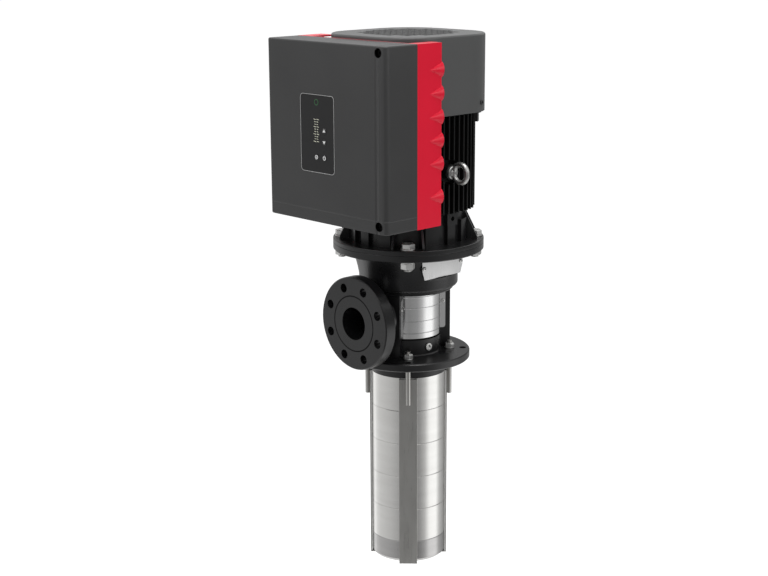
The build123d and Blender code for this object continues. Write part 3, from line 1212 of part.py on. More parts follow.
# Ball bearings: inner rings with their balls turn, grooved outer rings stay
drive_ball_circle = 0.5 * (BEARING_OUTER_RADIUS + DRIVE_SEAT_RADIUS)
rear_ball_circle = 0.5 * (REAR_BEARING_OUTER_RADIUS + REAR_SHAFT_RADIUS)
drive_bearing_bottom = DRIVE_BEARING_TOP - BEARING_WIDTH
bearings = (
    (
        drive_bearing_bottom,
        BEARING_WIDTH,
        DRIVE_SEAT_RADIUS,
        BEARING_OUTER_RADIUS,
        drive_ball_circle,
        DRIVE_BALL_RADIUS,
    ),
    (
        REAR_BEARING_BOTTOM,
        REAR_BEARING_WIDTH,
        REAR_SHAFT_RADIUS,
        REAR_BEARING_OUTER_RADIUS,
        rear_ball_circle,
        REAR_BALL_RADIUS,
    ),
)
with BuildPart() as bearing_inner_rings:
    for start, width, seat, outer, circle, ball in bearings:
        with BuildSketch(Plane.XY.offset(start)):
            Circle(circle - ball * RACE_RATIO)
            Circle(seat + RUNNING_CLEARANCE, mode=Mode.SUBTRACT)
        extrude(amount=width)
        with Locations((0, 0, start + width / 2)):
            with PolarLocations(circle, BALLS):
                Sphere(ball)
save(bearing_inner_rings, "bearing_inner_rings")

with BuildPart() as bearing_outer_rings:
    for start, width, seat, outer, circle, ball in bearings:
        with BuildSketch(Plane.XY.offset(start)):
            Circle(outer - RUNNING_CLEARANCE)
            Circle(circle + ball * RACE_RATIO, mode=Mode.SUBTRACT)
        extrude(amount=width)
        with Locations((0, 0, start + width / 2)):
            Torus(circle, ball + NECK_CLEARANCE, mode=Mode.SUBTRACT)
save(bearing_outer_rings, "bearing_outer_rings")

# Rear end shield with four posts that carry the fan cover
post_middle = FAN_COVER_HALF - FAN_COVER_CORNER
post_reach = FAN_COVER_CORNER - FAN_COVER_WALL - NECK_CLEARANCE
cover_screw_spots = []
for side_x in (1, -1):
    for side_y in (1, -1):
        spot_angle = math.degrees(math.atan2(side_y * SCREW_RISE, side_x * SCREW_RUN))
        cover_screw_spots.append((side_x, side_y, spot_angle))
rear_bearing_top = REAR_BEARING_BOTTOM + REAR_BEARING_WIDTH
with BuildPart() as rear_end_shield:
    disc = section(
        Plane.XZ,
        (REAR_BEARING_OUTER_RADIUS, HOUSING_TOP),
        (REAR_SHIELD_RADIUS, HOUSING_TOP),
        (REAR_SHIELD_RADIUS, HOUSING_TOP + REAR_SHIELD_THICKNESS),
        (REAR_BEARING_OUTER_RADIUS + REAR_HUB_WALL, HOUSING_TOP + REAR_SHIELD_THICKNESS),
        (REAR_BEARING_OUTER_RADIUS + REAR_HUB_WALL, rear_bearing_top + REAR_LIP),
        (REAR_SHAFT_RADIUS + REAR_SHAFT_GAP, rear_bearing_top + REAR_LIP),
        (REAR_SHAFT_RADIUS + REAR_SHAFT_GAP, rear_bearing_top),
        (REAR_BEARING_OUTER_RADIUS, rear_bearing_top),
    )
    revolve(disc, axis=Axis.Z)
    with BuildSketch(Plane.XY.offset(HOUSING_TOP)):
        for side_x, side_y, angle in cover_screw_spots:
            start = (side_x * post_middle, side_y * post_middle)
            middle = polar(0.5 * (post_reach + POST_ROOT), angle)
            with Locations(Location((start[0] + middle[0], start[1] + middle[1], 0), angle)):
                Rectangle(post_reach - POST_ROOT, POST_WIDTH)
    extrude(amount=post_top - HOUSING_TOP)
    for side_x, side_y, angle in cover_screw_spots:
        plane = outward_plane(side_x * post_middle, side_y * post_middle, COVER_SCREW_HEIGHT, angle)
        with BuildSketch(plane.offset(post_reach - POST_HOLE_DEPTH)):
            Circle(COVER_SCREW_SHANK + RUNNING_CLEARANCE)
        extrude(amount=2 * POST_HOLE_DEPTH, mode=Mode.SUBTRACT)
save(rear_end_shield, "rear_end_shield")

# Fan cover with a grille of square holes
with BuildPart() as fan_cover:
    with BuildSketch(Plane.XY.offset(FAN_COVER_BOTTOM)):
        RectangleRounded(2 * FAN_COVER_HALF, 2 * FAN_COVER_HALF, FAN_COVER_CORNER)
    extrude(amount=FAN_COVER_TOP - FAN_COVER_BOTTOM)
    fillet(fan_cover.faces().sort_by(Axis.Z)[-1].edges(), FAN_COVER_EDGE)
    inner_half = FAN_COVER_HALF - FAN_COVER_WALL
    with BuildSketch(Plane.XY.offset(FAN_COVER_BOTTOM)):
        RectangleRounded(2 * inner_half, 2 * inner_half, FAN_COVER_CORNER - FAN_COVER_WALL)
    extrude(amount=FAN_COVER_TOP - FAN_COVER_WALL - FAN_COVER_BOTTOM, mode=Mode.SUBTRACT)
    with BuildSketch(Plane.XY.offset(FAN_COVER_TOP)):
        for row in range(-GRILLE_ROWS, GRILLE_ROWS + 1):
            for column in range(-GRILLE_ROWS, GRILLE_ROWS + 1):
                if math.hypot(row, column) * GRILLE_PITCH < GRILLE_RADIUS:
                    with Locations((row * GRILLE_PITCH, column * GRILLE_PITCH)):
                        Rectangle(GRILLE_HOLE, GRILLE_HOLE)
    extrude(amount=-2 * FAN_COVER_WALL, mode=Mode.SUBTRACT)
    for side_x, side_y, angle in cover_screw_spots:
        plane = outward_plane(side_x * post_middle, side_y * post_middle, COVER_SCREW_HEIGHT, angle)
        with BuildSketch(plane.offset(post_reach - OVERCUT)):
            Circle(COVER_SCREW_SHANK + SEAT_CLEARANCE)
        extrude(amount=POST_HOLE_DEPTH, mode=Mode.SUBTRACT)
save(fan_cover, "fan_cover")

with BuildPart() as fan_cover_screws:
    for side_x, side_y, angle in cover_screw_spots:
        plane = outward_plane(side_x * post_middle, side_y * post_middle, COVER_SCREW_HEIGHT, angle)
        with BuildSketch(plane.offset(post_reach - COVER_SCREW_LENGTH)):
            Circle(COVER_SCREW_SHANK)
        extrude(amount=FAN_COVER_CORNER - post_reach + COVER_SCREW_LENGTH)
        with BuildSketch(plane.offset(FAN_COVER_CORNER)):
            Circle(COVER_SCREW_HEAD)
        extrude(amount=COVER_SCREW_HEAD / 2)
save(fan_cover_screws, "fan_cover_screws")

# Fan on the rear shaft end
with BuildPart() as fan:
    with BuildSketch(Plane.XY.offset(FAN_DISC_BOTTOM)):
        Circle(FAN_RADIUS - FAN_DISC_INSET)
        Circle(REAR_SHAFT_RADIUS + RUNNING_CLEARANCE, mode=Mode.SUBTRACT)
    extrude(amount=FAN_SHEET)
    with BuildSketch(Plane.XY.offset(FAN_DISC_BOTTOM)):
        Circle(FAN_HUB_RADIUS)
        with PolarLocations(0.5 * (FAN_HUB_RADIUS - FAN_BLADE_ROOT + FAN_RADIUS), FAN_BLADES):
            Rectangle(FAN_RADIUS - FAN_HUB_RADIUS + FAN_BLADE_ROOT, FAN_SHEET)
        Circle(REAR_SHAFT_RADIUS + RUNNING_CLEARANCE, mode=Mode.SUBTRACT)
    extrude(amount=FAN_HEIGHT)
save(fan, "fan")

# Lifting eye bolts: shank, collar and ring
with BuildPart() as eye_bolts:
    for side in (1, -1):
        for radius, start, length in (
            (EYE_RING_WIRE, EYE_SEAT - EYE_SHANK_LENGTH, EYE_SHANK_LENGTH),
            (EYE_COLLAR_RADIUS, EYE_SEAT, EYE_COLLAR_HEIGHT),
        ):
            with BuildSketch(Plane.YZ.offset(side * start)):
                with Locations((EYE_BOLT_OFFSET, EYE_BOLT_HEIGHT)):
                    Circle(radius)
            extrude(amount=side * length)
        ring_middle = side * (EYE_SEAT + EYE_COLLAR_HEIGHT + EYE_RING_RADIUS - EYE_RING_SINK)
        with Locations(Location((ring_middle, EYE_BOLT_OFFSET, EYE_BOLT_HEIGHT), (90, 0, 0))):
            Torus(EYE_RING_RADIUS, EYE_RING_WIRE)
save(eye_bolts, "eye_bolts")

# Drive box base: aluminium plate with cooling fins towards the motor and a shelf for the glands
with BuildPart() as heat_sink:
    with BuildSketch(Plane.XZ.offset(BOX_PARTING)):
        with Locations((BOX_X, box_middle)):
            Rectangle(2 * base_half_width, BOX_TOP - BOX_BOTTOM - 2 * COVER_WALL - 2 * BASE_GAP)
    extrude(amount=BASE_THICKNESS)
    with BuildSketch(Plane.XZ.offset(BOX_PARTING)):
        for side in (1, -1):
            for number in range(SINK_FINS_PER_SIDE):
                inset = SHELL_WALL + number * SINK_FIN_PITCH
                with Locations((BOX_X + side * (base_half_width - inset), SINK_FIN_MIDDLE)):
                    Rectangle(SINK_FIN_THICKNESS, SINK_FIN_HEIGHT)
    extrude(amount=-SINK_FIN_DEPTH)
    with BuildSketch(Plane.XY.offset(BOX_BOTTOM + NECK_CLEARANCE)):
        with Locations((0, -0.5 * (SHELF_FRONT + BOX_PARTING + BASE_THICKNESS))):
            Rectangle(SHELF_WIDTH, SHELF_FRONT - BOX_PARTING - BASE_THICKNESS)
    extrude(amount=SHELF_THICKNESS)
    with BuildSketch(Plane.XY.offset(BOX_BOTTOM)):
        for place in GLAND_PLACES:
            with Locations((place, -GLAND_Y)):
                Circle(GLAND_RADIUS + RUNNING_CLEARANCE)
    extrude(amount=2 * SHELF_THICKNESS, mode=Mode.SUBTRACT)
    with BuildSketch(Plane.XZ.offset(BOX_PARTING)):
        for height in (cover_screw_low, cover_screw_high):
            with Locations((cover_screw_x, height)):
                Circle(BOX_SCREW_RADIUS + RUNNING_CLEARANCE)
    extrude(amount=BASE_THICKNESS, mode=Mode.SUBTRACT)
save(heat_sink, "heat_sink")

with BuildPart() as blind_plugs:
    for place in GLAND_PLACES:
        with BuildSketch(Plane.XY.offset(BOX_BOTTOM + NECK_CLEARANCE)):
            with Locations((place, -GLAND_Y)):
                Circle(GLAND_RADIUS)
        extrude(amount=SHELF_THICKNESS)
        with BuildSketch(Plane.XY.offset(BOX_BOTTOM + NECK_CLEARANCE)):
            with Locations((place, -GLAND_Y)):
                RegularPolygon(GLAND_WIDTH / 2, 6, major_radius=False)
        extrude(amount=-GLAND_HEAD)
save(blind_plugs, "blind_plugs")

# Side shell of the drive box with a column of air scoops on each side
with BuildPart() as box_shell:
    with BuildSketch(Plane.XZ.offset(BOX_REAR)):
        with Locations((BOX_X, box_middle)):
            Rectangle(2 * BOX_HALF_WIDTH, BOX_TOP - BOX_BOTTOM)
    extrude(amount=BOX_PARTING - BOX_REAR)
    fillet(box_shell.faces().sort_by(Axis.Y)[-1].edges(), SHELL_WALL)
    for side in (1, -1):
        for height in SCOOP_HEIGHTS:
            with BuildSketch(Plane.XZ.offset(BOX_REAR)):
                with Locations((BOX_X + side * scoop_x, height)):
                    Ellipse(SCOOP_DEPTH, SCOOP_HALF_HEIGHT)
            with BuildSketch(Plane.XZ.offset(BOX_REAR + SCOOP_LENGTH)):
                with Locations((BOX_X + side * (BOX_HALF_WIDTH - SCOOP_TIP), height)):
                    Circle(SCOOP_TIP)
            loft()
    with BuildSketch(Plane.XZ.offset(BOX_REAR - OVERCUT)):
        with Locations((BOX_X, box_middle)):
            Rectangle(2 * shell_inner, BOX_TOP - BOX_BOTTOM - 2 * SHELL_WALL)
    extrude(amount=BOX_PARTING - SHELL_WALL - BOX_REAR + OVERCUT, mode=Mode.SUBTRACT)
    for side in (1, -1):
        for height in SCOOP_HEIGHTS:
            with BuildSketch(Plane.XZ.offset(BOX_REAR)):
                with Locations((BOX_X + side * scoop_x, height)):
                    Ellipse(SCOOP_DEPTH - SCOOP_WALL, SCOOP_HALF_HEIGHT - SCOOP_WALL)
            with BuildSketch(Plane.XZ.offset(BOX_REAR + SCOOP_LENGTH)):
                with Locations((BOX_X + side * (BOX_HALF_WIDTH - SCOOP_TIP - SCOOP_WALL), height)):
                    Circle(SCOOP_TIP)
            loft(mode=Mode.SUBTRACT)
    with BuildSketch(Plane.XZ.offset(BOX_REAR)):
        with Locations((BOX_X, box_middle)):
            Rectangle(2 * (shell_inner - SHELL_SIDE_LIP), BOX_TOP - BOX_BOTTOM - 2 * SHELL_LIP)
    extrude(amount=BOX_PARTING, mode=Mode.SUBTRACT)
    with BuildSketch(Plane.XZ.offset(BOX_REAR - OVERCUT)):
        with Locations((0, box_middle)):
            Rectangle(2 * SHELL_INNER_EDGE, 2 * BOX_TOP)
    extrude(amount=BOX_PARTING - SHELL_WALL - BOX_REAR + OVERCUT, mode=Mode.SUBTRACT)
save(box_shell, "box_shell")

# Cover of the drive box
with BuildPart() as box_cover:
    with BuildSketch(Plane.XZ.offset(BOX_PARTING)):
        with Locations((BOX_X, box_middle)):
            Rectangle(2 * BOX_HALF_WIDTH, BOX_TOP - BOX_BOTTOM)
    extrude(amount=BOX_FRONT - BOX_PARTING)
    front_edges = box_cover.faces().sort_by(Axis.Y)[0].edges()
    fillet(front_edges.filter_by(Axis.Z), COVER_CORNER)
    front_edges = box_cover.faces().sort_by(Axis.Y)[0].edges()
    fillet(front_edges.filter_by(Axis.X), COVER_EDGE)
    with BuildSketch(Plane.XZ.offset(BOX_PARTING)):
        with Locations((BOX_X, box_middle)):
            Rectangle(2 * (BOX_HALF_WIDTH - COVER_WALL), BOX_TOP - BOX_BOTTOM - 2 * COVER_WALL)
    extrude(amount=BOX_FRONT - COVER_WALL - BOX_PARTING, mode=Mode.SUBTRACT)
    for height in (cover_screw_low, cover_screw_high):
        with BuildSketch(Plane.XZ.offset(BOX_PARTING + BASE_THICKNESS)):
            with Locations((cover_screw_x, height)):
                Circle(RECESS_RADIUS + RECESS_WALL)
        extrude(amount=BOX_FRONT - COVER_WALL - BOX_PARTING - BASE_THICKNESS)
        with BuildSketch(Plane.XZ.offset(BOX_FRONT - RECESS_DEPTH)):
            with Locations((cover_screw_x, height)):
                Circle(RECESS_RADIUS)
        extrude(amount=2 * RECESS_DEPTH, mode=Mode.SUBTRACT)
        with BuildSketch(Plane.XZ.offset(BOX_PARTING)):
            with Locations((cover_screw_x, height)):
                Circle(BOX_SCREW_RADIUS + SEAT_CLEARANCE)
        extrude(amount=BOX_FRONT - BOX_PARTING, mode=Mode.SUBTRACT)
    with BuildSketch(Plane.XZ.offset(BOX_FRONT - CHANNEL_DEPTH)):
        with Locations((channel_x, 0.5 * (cover_screw_low + cover_screw_high))):
            Rectangle(CHANNEL_WIDTH, cover_screw_high - cover_screw_low)
    extrude(amount=2 * CHANNEL_DEPTH, mode=Mode.SUBTRACT)
    with BuildSketch(Plane.XZ.offset(foil_back)):
        with Locations((PANEL_X, PANEL_Z)):
            RectangleRounded(PANEL_WIDTH, PANEL_HEIGHT, PANEL_CORNER)
    extrude(amount=COVER_WALL, mode=Mode.SUBTRACT)
    with BuildSketch(Plane.XZ.offset(key_pocket)):
        for place in KEYS.values():
            with Locations(place):
                Circle(KEY_RADIUS + KEY_GAP)
    extrude(amount=COVER_WALL, mode=Mode.SUBTRACT)
    with BuildSketch(Plane.XZ.offset(BOX_FRONT - COVER_WALL - OVERCUT)):
        for place in KEYS.values():
            with Locations(place):
                Circle(KEY_STEM_RADIUS + KEY_GAP)
    extrude(amount=COVER_WALL, mode=Mode.SUBTRACT)
    with BuildSketch(Plane.XY.offset(BOX_BOTTOM)):
        with Locations((0, -0.5 * (SHELF_FRONT + NECK_CLEARANCE + BOX_PARTING))):
            Rectangle(SHELF_WIDTH + 2 * NECK_CLEARANCE, SHELF_FRONT + NECK_CLEARANCE - BOX_PARTING)
    extrude(amount=COVER_WALL, mode=Mode.SUBTRACT)
    bevel = section(
        Plane.YZ,
        (-BOX_FRONT, CREASE_HEIGHT),
        (-BOX_FRONT - OVERCUT, CREASE_HEIGHT),
        (-BOX_FRONT - OVERCUT, BOX_BOTTOM - OVERCUT),
        (-BOX_FRONT + CREASE_DEPTH, BOX_BOTTOM - OVERCUT),
    )
    extrude(bevel, amount=2 * BOX_HALF_WIDTH, both=True, mode=Mode.SUBTRACT)
save(box_cover, "box_cover")

with BuildPart() as cover_screws:
    for height in (cover_screw_low, cover_screw_high):
        with BuildSketch(Plane.XZ.offset(BOX_PARTING + SCREW_TIP_GAP)):
            with Locations((cover_screw_x, height)):
                Circle(BOX_SCREW_RADIUS)
        extrude(amount=BOX_FRONT - RECESS_DEPTH - BOX_PARTING - SCREW_TIP_GAP)
        with BuildSketch(Plane.XZ.offset(BOX_FRONT - RECESS_DEPTH)):
            with Locations((cover_screw_x, height)):
                Circle(BOX_SCREW_RADIUS * 2)
                RegularPolygon(BOX_SCREW_RADIUS, 6, mode=Mode.SUBTRACT)
        extrude(amount=BOX_SCREW_HEAD)
save(cover_screws, "cover_screws")

# Operating panel: printed foil, ring indicator with level bars, and four travelling keys
with BuildPart() as panel_foil:
    with BuildSketch(Plane.XZ.offset(foil_back)):
        with Locations((PANEL_X, PANEL_Z)):
            RectangleRounded(
                PANEL_WIDTH - 2 * SEAT_CLEARANCE,
                PANEL_HEIGHT - 2 * SEAT_CLEARANCE,
                PANEL_CORNER - SEAT_CLEARANCE,
            )
        for place in KEYS.values():
            with Locations(place):
                Circle(KEY_RADIUS + KEY_GAP, mode=Mode.SUBTRACT)
    extrude(amount=PANEL_DEPTH)
save(panel_foil, "panel_foil")

with BuildPart() as panel_lights:
    with BuildSketch(Plane.XZ.offset(BOX_FRONT)):
        with Locations((RING_X, RING_Z)):
            Circle(RING_OUTER)
            Circle(RING_INNER, mode=Mode.SUBTRACT)
        for row in range(LEVEL_ROWS):
            width = LEVEL_WIDE if row % 3 == 0 else LEVEL_NARROW
            with Locations((LEVEL_X, LEVEL_BOTTOM + row * LEVEL_PITCH)):
                Rectangle(width, LEVEL_PITCH / 2)
    extrude(amount=LIGHT_PROUD)
save(panel_lights, "panel_lights")

for name, place in KEYS.items():
    with BuildPart() as key:
        with BuildSketch(Plane.XZ.offset(key_pocket + KEY_GAP + KEY_TRAVEL)):
            with Locations(place):
                Circle(KEY_RADIUS)
        extrude(amount=BOX_FRONT + KEY_PROUD - key_pocket - KEY_GAP - KEY_TRAVEL)
        with BuildSketch(Plane.XZ.offset(BOARD_Y + KEY_TRAVEL + SEAT_CLEARANCE)):
            with Locations(place):
                Circle(KEY_STEM_RADIUS)
        extrude(amount=BOX_FRONT - BOARD_Y - KEY_TRAVEL - 2 * SEAT_CLEARANCE)
        fillet(key.edges().filter_by(GeomType.CIRCLE).sort_by(Axis.Y)[0], KEY_GAP)
    save(key, name)

# Boards inside the drive box
with BuildPart() as control_board:
    with BuildSketch(Plane.XZ.offset(BOARD_Y - BOARD_THICKNESS)):
        with Locations((PANEL_X, PANEL_Z)):
            Rectangle(PANEL_WIDTH + BOARD_OVERHANG_X, PANEL_HEIGHT + BOARD_OVERHANG_Z)
    extrude(amount=BOARD_THICKNESS)
    with BuildSketch(Plane.XZ.offset(BOX_PARTING + BASE_THICKNESS)):
        with Locations((PANEL_X, PANEL_Z)):
            with GridLocations(board_post_x, board_post_z, 2, 2):
                Circle(BOARD_POST_RADIUS)
    extrude(amount=BOARD_Y - BOARD_THICKNESS - BOX_PARTING - BASE_THICKNESS)
save(control_board, "control_board")

with BuildPart() as power_board:
    board_level = BOX_PARTING + BASE_THICKNESS + BOARD_STANDOFF
    with BuildSketch(Plane.XZ.offset(board_level)):
        with Locations((POWER_X, POWER_Z)):
            Rectangle(POWER_WIDTH, POWER_HEIGHT)
            with GridLocations(CAPACITOR_PITCH, CAPACITOR_PITCH, 2, 3):
                Circle(SOLDER_HOLE_RADIUS, mode=Mode.SUBTRACT)
        with Locations((PANEL_X, PANEL_Z)):
            with GridLocations(board_post_x, board_post_z, 2, 2):
                Circle(BOARD_POST_RADIUS + BOARD_POST_GAP, mode=Mode.SUBTRACT)
    extrude(amount=BOARD_THICKNESS)
    with BuildSketch(Plane.XZ.offset(board_level - BOARD_STANDOFF)):
        with Locations((POWER_X, POWER_Z)):
            with GridLocations(POWER_WIDTH - POWER_POST_INSET, POWER_HEIGHT - POWER_POST_INSET, 2, 2):
                Circle(BOARD_POST_RADIUS)
    extrude(amount=BOARD_STANDOFF)
    with BuildSketch(Plane.XZ.offset(board_level + BOARD_THICKNESS)):
        with Locations((POWER_X, CAPACITOR_Z)):
            with GridLocations(CAPACITOR_PITCH, CAPACITOR_PITCH, 4, 2):
                Circle(CAPACITOR_RADIUS)
        with Locations((POWER_X, TERMINAL_Z)):
            Rectangle(TERMINAL_WIDTH, TERMINAL_HEIGHT)
    extrude(amount=CAPACITOR_HEIGHT)
save(power_board, "power_board")
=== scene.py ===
"""Looks of a vertical multistage pump for a tank top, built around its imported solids."""

import json
import logging
import math
from collections.abc import Iterator
from contextlib import contextmanager
from dataclasses import dataclass
from enum import Enum

import bmesh
import bpy
from mathutils import Matrix, Vector

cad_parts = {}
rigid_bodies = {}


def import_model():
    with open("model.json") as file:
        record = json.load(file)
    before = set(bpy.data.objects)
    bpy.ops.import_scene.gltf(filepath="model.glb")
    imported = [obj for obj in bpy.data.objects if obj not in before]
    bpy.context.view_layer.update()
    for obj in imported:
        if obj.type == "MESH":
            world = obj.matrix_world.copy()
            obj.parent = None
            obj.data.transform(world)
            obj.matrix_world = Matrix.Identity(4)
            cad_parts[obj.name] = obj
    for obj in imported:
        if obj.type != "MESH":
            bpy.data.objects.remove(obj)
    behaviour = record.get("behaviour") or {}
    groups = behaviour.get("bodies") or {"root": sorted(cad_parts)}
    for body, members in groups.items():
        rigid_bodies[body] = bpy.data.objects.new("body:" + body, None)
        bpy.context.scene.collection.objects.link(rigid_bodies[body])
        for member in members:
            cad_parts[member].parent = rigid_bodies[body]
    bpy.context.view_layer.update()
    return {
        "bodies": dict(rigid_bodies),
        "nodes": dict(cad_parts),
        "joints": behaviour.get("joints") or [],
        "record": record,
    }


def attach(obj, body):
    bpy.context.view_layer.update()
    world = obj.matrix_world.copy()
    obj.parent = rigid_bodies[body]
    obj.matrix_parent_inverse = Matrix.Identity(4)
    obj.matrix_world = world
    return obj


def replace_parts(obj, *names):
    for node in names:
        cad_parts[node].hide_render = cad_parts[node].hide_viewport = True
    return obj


LOG = logging.getLogger("pump")
PHOTO_WIDTH = 768
SENSOR_WIDTH = 36.0

FINE_DETAIL = 2.0
CLOUD_DETAIL = 3.0
BROAD_DETAIL = 4.0

PLATE_RADIUS = 0.124
PLATE_TOP = 0.016
FLANGE_RADIUS = 0.15
FLANGE_UNDER = 0.225
FLANGE_SEAM = 0.239
FLANGE_TOP = 0.248
COVER_FRONT = -0.215
VALLEY_PLACE = 0.1376
COVER_RIDGE_HEIGHT = 0.3255

UP = (0, 0, 1)
DOWN = (0, 0, -1)
FORWARD = (0, -1, 0)
HEXAGON = 6
CORNER_ANGLES = tuple(math.radians(45 + 90 * quarter) for quarter in range(4))


class Socket:
    """A shader value that adds Math nodes when it is used in an expression."""

    def __init__(self, book: "NodeBook", output: bpy.types.NodeSocket) -> None:
        """Wraps one output.

        Args:
            book: The node book that the value belongs to.
            output: The node's output socket.
        """
        self.book = book
        self.output = output

    def _math(self, operation: str, first: "Value", second: "Value") -> "Socket":
        """Adds a Math node of one operation on two values."""
        return self.book.node("ShaderNodeMath", {"operation": operation}, {0: first, 1: second})

    def __add__(self, other: "Value") -> "Socket":
        """Sum."""
        return self._math("ADD", self, other)

    def __radd__(self, other: "Value") -> "Socket":
        """Sum with a plain number first."""
        return self._math("ADD", other, self)

    def __sub__(self, other: "Value") -> "Socket":
        """Difference."""
        return self._math("SUBTRACT", self, other)

    def __rsub__(self, other: "Value") -> "Socket":
        """Difference from a plain number."""
        return self._math("SUBTRACT", other, self)

    def __mul__(self, other: "Value") -> "Socket":
        """Product."""
        return self._math("MULTIPLY", self, other)

    def __rmul__(self, other: "Value") -> "Socket":
        """Product with a plain number first."""
        return self._math("MULTIPLY", other, self)

    def distance(self, place: float) -> "Socket":
        """How far the value is from a place."""
        return self._math("ABSOLUTE", self - place, 0.0)

    def lesser(self, limit: float) -> "Socket":
        """The value, held to a limit."""
        return self._math("MINIMUM", self, limit)

    def heading(self, across: "Socket") -> "Socket":
        """Angle of the direction that has this value along X and the other along Y."""
        return self._math("ARCTAN2", across, self)


Value = Socket | float | int | tuple


class NodeBook:
    """The node tree of one material, filled by its finish."""

    NOISE_LOW = 0.3
    NOISE_HIGH = 0.7

    def __init__(self, name: str) -> None:
        """Starts an empty material with an output and a main shader.

        Args:
            name: The material's name.
        """
        self.material = bpy.data.materials.new(name)
        self.material.use_nodes = True
        self.tree = self.material.node_tree
        self.shader = next(node for node in self.tree.nodes if node.type == "BSDF_PRINCIPLED")

    def node(self, kind: str, settings: dict, values: dict, output: int | str = 0) -> Socket:
        """Adds a node, its settings first and then its inputs.

        Args:
            kind: The node's type.
            settings: Attributes of the node; "stops" fills a colour ramp.
            values: Numbers, colours or sockets by input name or index.
            output: The output to return.

        Returns:
            The wrapped output.
        """
        made = self.tree.nodes.new(kind)
        for key, value in settings.items():
            if key == "stops":
                self._fill_ramp(made.color_ramp, value)
            else:
                setattr(made, key, value)
        for key, value in values.items():
            self.feed(made.inputs[key], value)
        return Socket(self, made.outputs[output])

    @staticmethod
    def _fill_ramp(ramp: bpy.types.ColorRamp, stops: list) -> None:
        """Sets a ramp's stops.

        Args:
            ramp: The ramp of a node.
            stops: Pairs of a position and a grey level, in order.
        """
        while len(ramp.elements) < len(stops):
            ramp.elements.new(1.0)
        for element, (position, tone) in zip(ramp.elements, stops):
            element.position = position
            element.color = (tone, tone, tone, 1.0)

    def feed(self, slot: bpy.types.NodeSocket, value: Value) -> None:
        """Links a socket to an input, or sets the input to a number or colour.

        Args:
            slot: The input.
            value: What it gets.
        """
        if isinstance(value, Socket):
            self.tree.links.new(value.output, slot)
        elif isinstance(value, tuple) and len(value) == 3 and slot.type == "RGBA":
            slot.default_value = (*value, 1.0)
        else:
            slot.default_value = value

    def set(self, **values: Value) -> None:
        """Sets inputs of the main shader, with spaces in their names as underscores."""
        for key, value in values.items():
            self.feed(self.shader.inputs[key.replace("_", " ")], value)

    def place(self, stretch: tuple = (1.0, 1.0, 1.0)) -> Socket:
        """Object coordinates, stretched along the axes."""
        spot = self.node("ShaderNodeTexCoord", {}, {}, "Object")
        return self.node("ShaderNodeMapping", {}, {"Vector": spot, "Scale": stretch})

    def axes(self) -> list[Socket]:
        """Object coordinates as three numbers."""
        spot = self.node("ShaderNodeTexCoord", {}, {}, "Object")
        return [self.node("ShaderNodeSeparateXYZ", {}, {0: spot}, axis) for axis in "XYZ"]

    def around(self, turns: float, rise: float) -> Socket:
        """Coordinates that run round the upright axis and up it.

        Args:
            turns: Scale of the way round.
            rise: Scale of the height.

        Returns:
            A vector for a texture.
        """
        along_x, along_y, height = self.axes()
        angle = along_x.heading(along_y)
        return self.node("ShaderNodeCombineXYZ", {}, {0: angle * turns, 2: height * rise})

    def noise(self, spot: Socket, scale: float, detail: float = CLOUD_DETAIL) -> Socket:
        """Cloudy noise between nought and one."""
        values = {"Vector": spot, "Scale": scale, "Detail": detail}
        return self.node("ShaderNodeTexNoise", {}, values)

    def span(self, value: Socket, low: float, high: float) -> Socket:
        """Noise around a half spread over a range."""
        limits = {0: value, 1: self.NOISE_LOW, 2: self.NOISE_HIGH, 3: low, 4: high}
        return self.node("ShaderNodeMapRange", {}, limits)

    def blend(self, factor: Value, first: Value, second: Value) -> Socket:
        """Mixes two colours.

        Args:
            factor: Share of the second colour.
            first: Colour at nought.
            second: Colour at one.

        Returns:
            The mixed colour.
        """
        made = self.tree.nodes.new("ShaderNodeMix")
        made.data_type = "RGBA"
        for key, value in {"Factor": factor, "A": first, "B": second}.items():
            self.feed(next(slot for slot in made.inputs if slot.name == key and slot.enabled), value)
        return Socket(self, next(slot for slot in made.outputs if slot.enabled))

    def tint(self, cloud: Socket, low: tuple, high: tuple) -> Socket:
        """Two colours mixed by a cloudy noise."""
        return self.blend(self.span(cloud, 0.0, 1.0), low, high)

    def bump(self, height: Socket, strength: float, distance: float) -> Socket:
        """Turns a height into a normal."""
        values = {"Strength": strength, "Distance": distance, "Height": height}
        return self.node("ShaderNodeBump", {}, values)


@dataclass(frozen=True)
class Finish:
    """A surface look with a material of its own."""

    name: str

    def material(self) -> bpy.types.Material:
        """Builds the material.

        Returns:
            The material.
        """
        book = NodeBook(self.name)
        self.fill(book)
        return book.material

    def fill(self, book: NodeBook) -> None:
        """Sets the shader's inputs in the finish's own way."""
        raise NotImplementedError


@dataclass(frozen=True)
class CastPaint(Finish):
    """Black paint over a cast surface, glossy with a faint orange peel."""

    name: str = "cast_paint"
    tone: tuple = (0.005, 0.005, 0.0055)
    dusty_tone: tuple = (0.008, 0.008, 0.0085)
    gloss: tuple = (0.24, 0.36)
    specular: float = 0.4
    cloud_scale: float = 9.0
    peel_scale: float = 420.0
    peel_strength: float = 0.35
    peel_depth: float = 0.00025

    def fill(self, book: NodeBook) -> None:
        """Sets the shader's inputs.

        Args:
            book: The node book of the new material.
        """
        spot = book.place()
        cloud = book.noise(spot, self.cloud_scale, BROAD_DETAIL)
        peel = book.noise(spot, self.peel_scale, FINE_DETAIL)
        book.set(
            Base_Color=book.tint(cloud, self.tone, self.dusty_tone),
            Roughness=book.span(cloud, *self.gloss),
            Specular_IOR_Level=self.specular,
            Normal=book.bump(peel, self.peel_strength, self.peel_depth),
        )


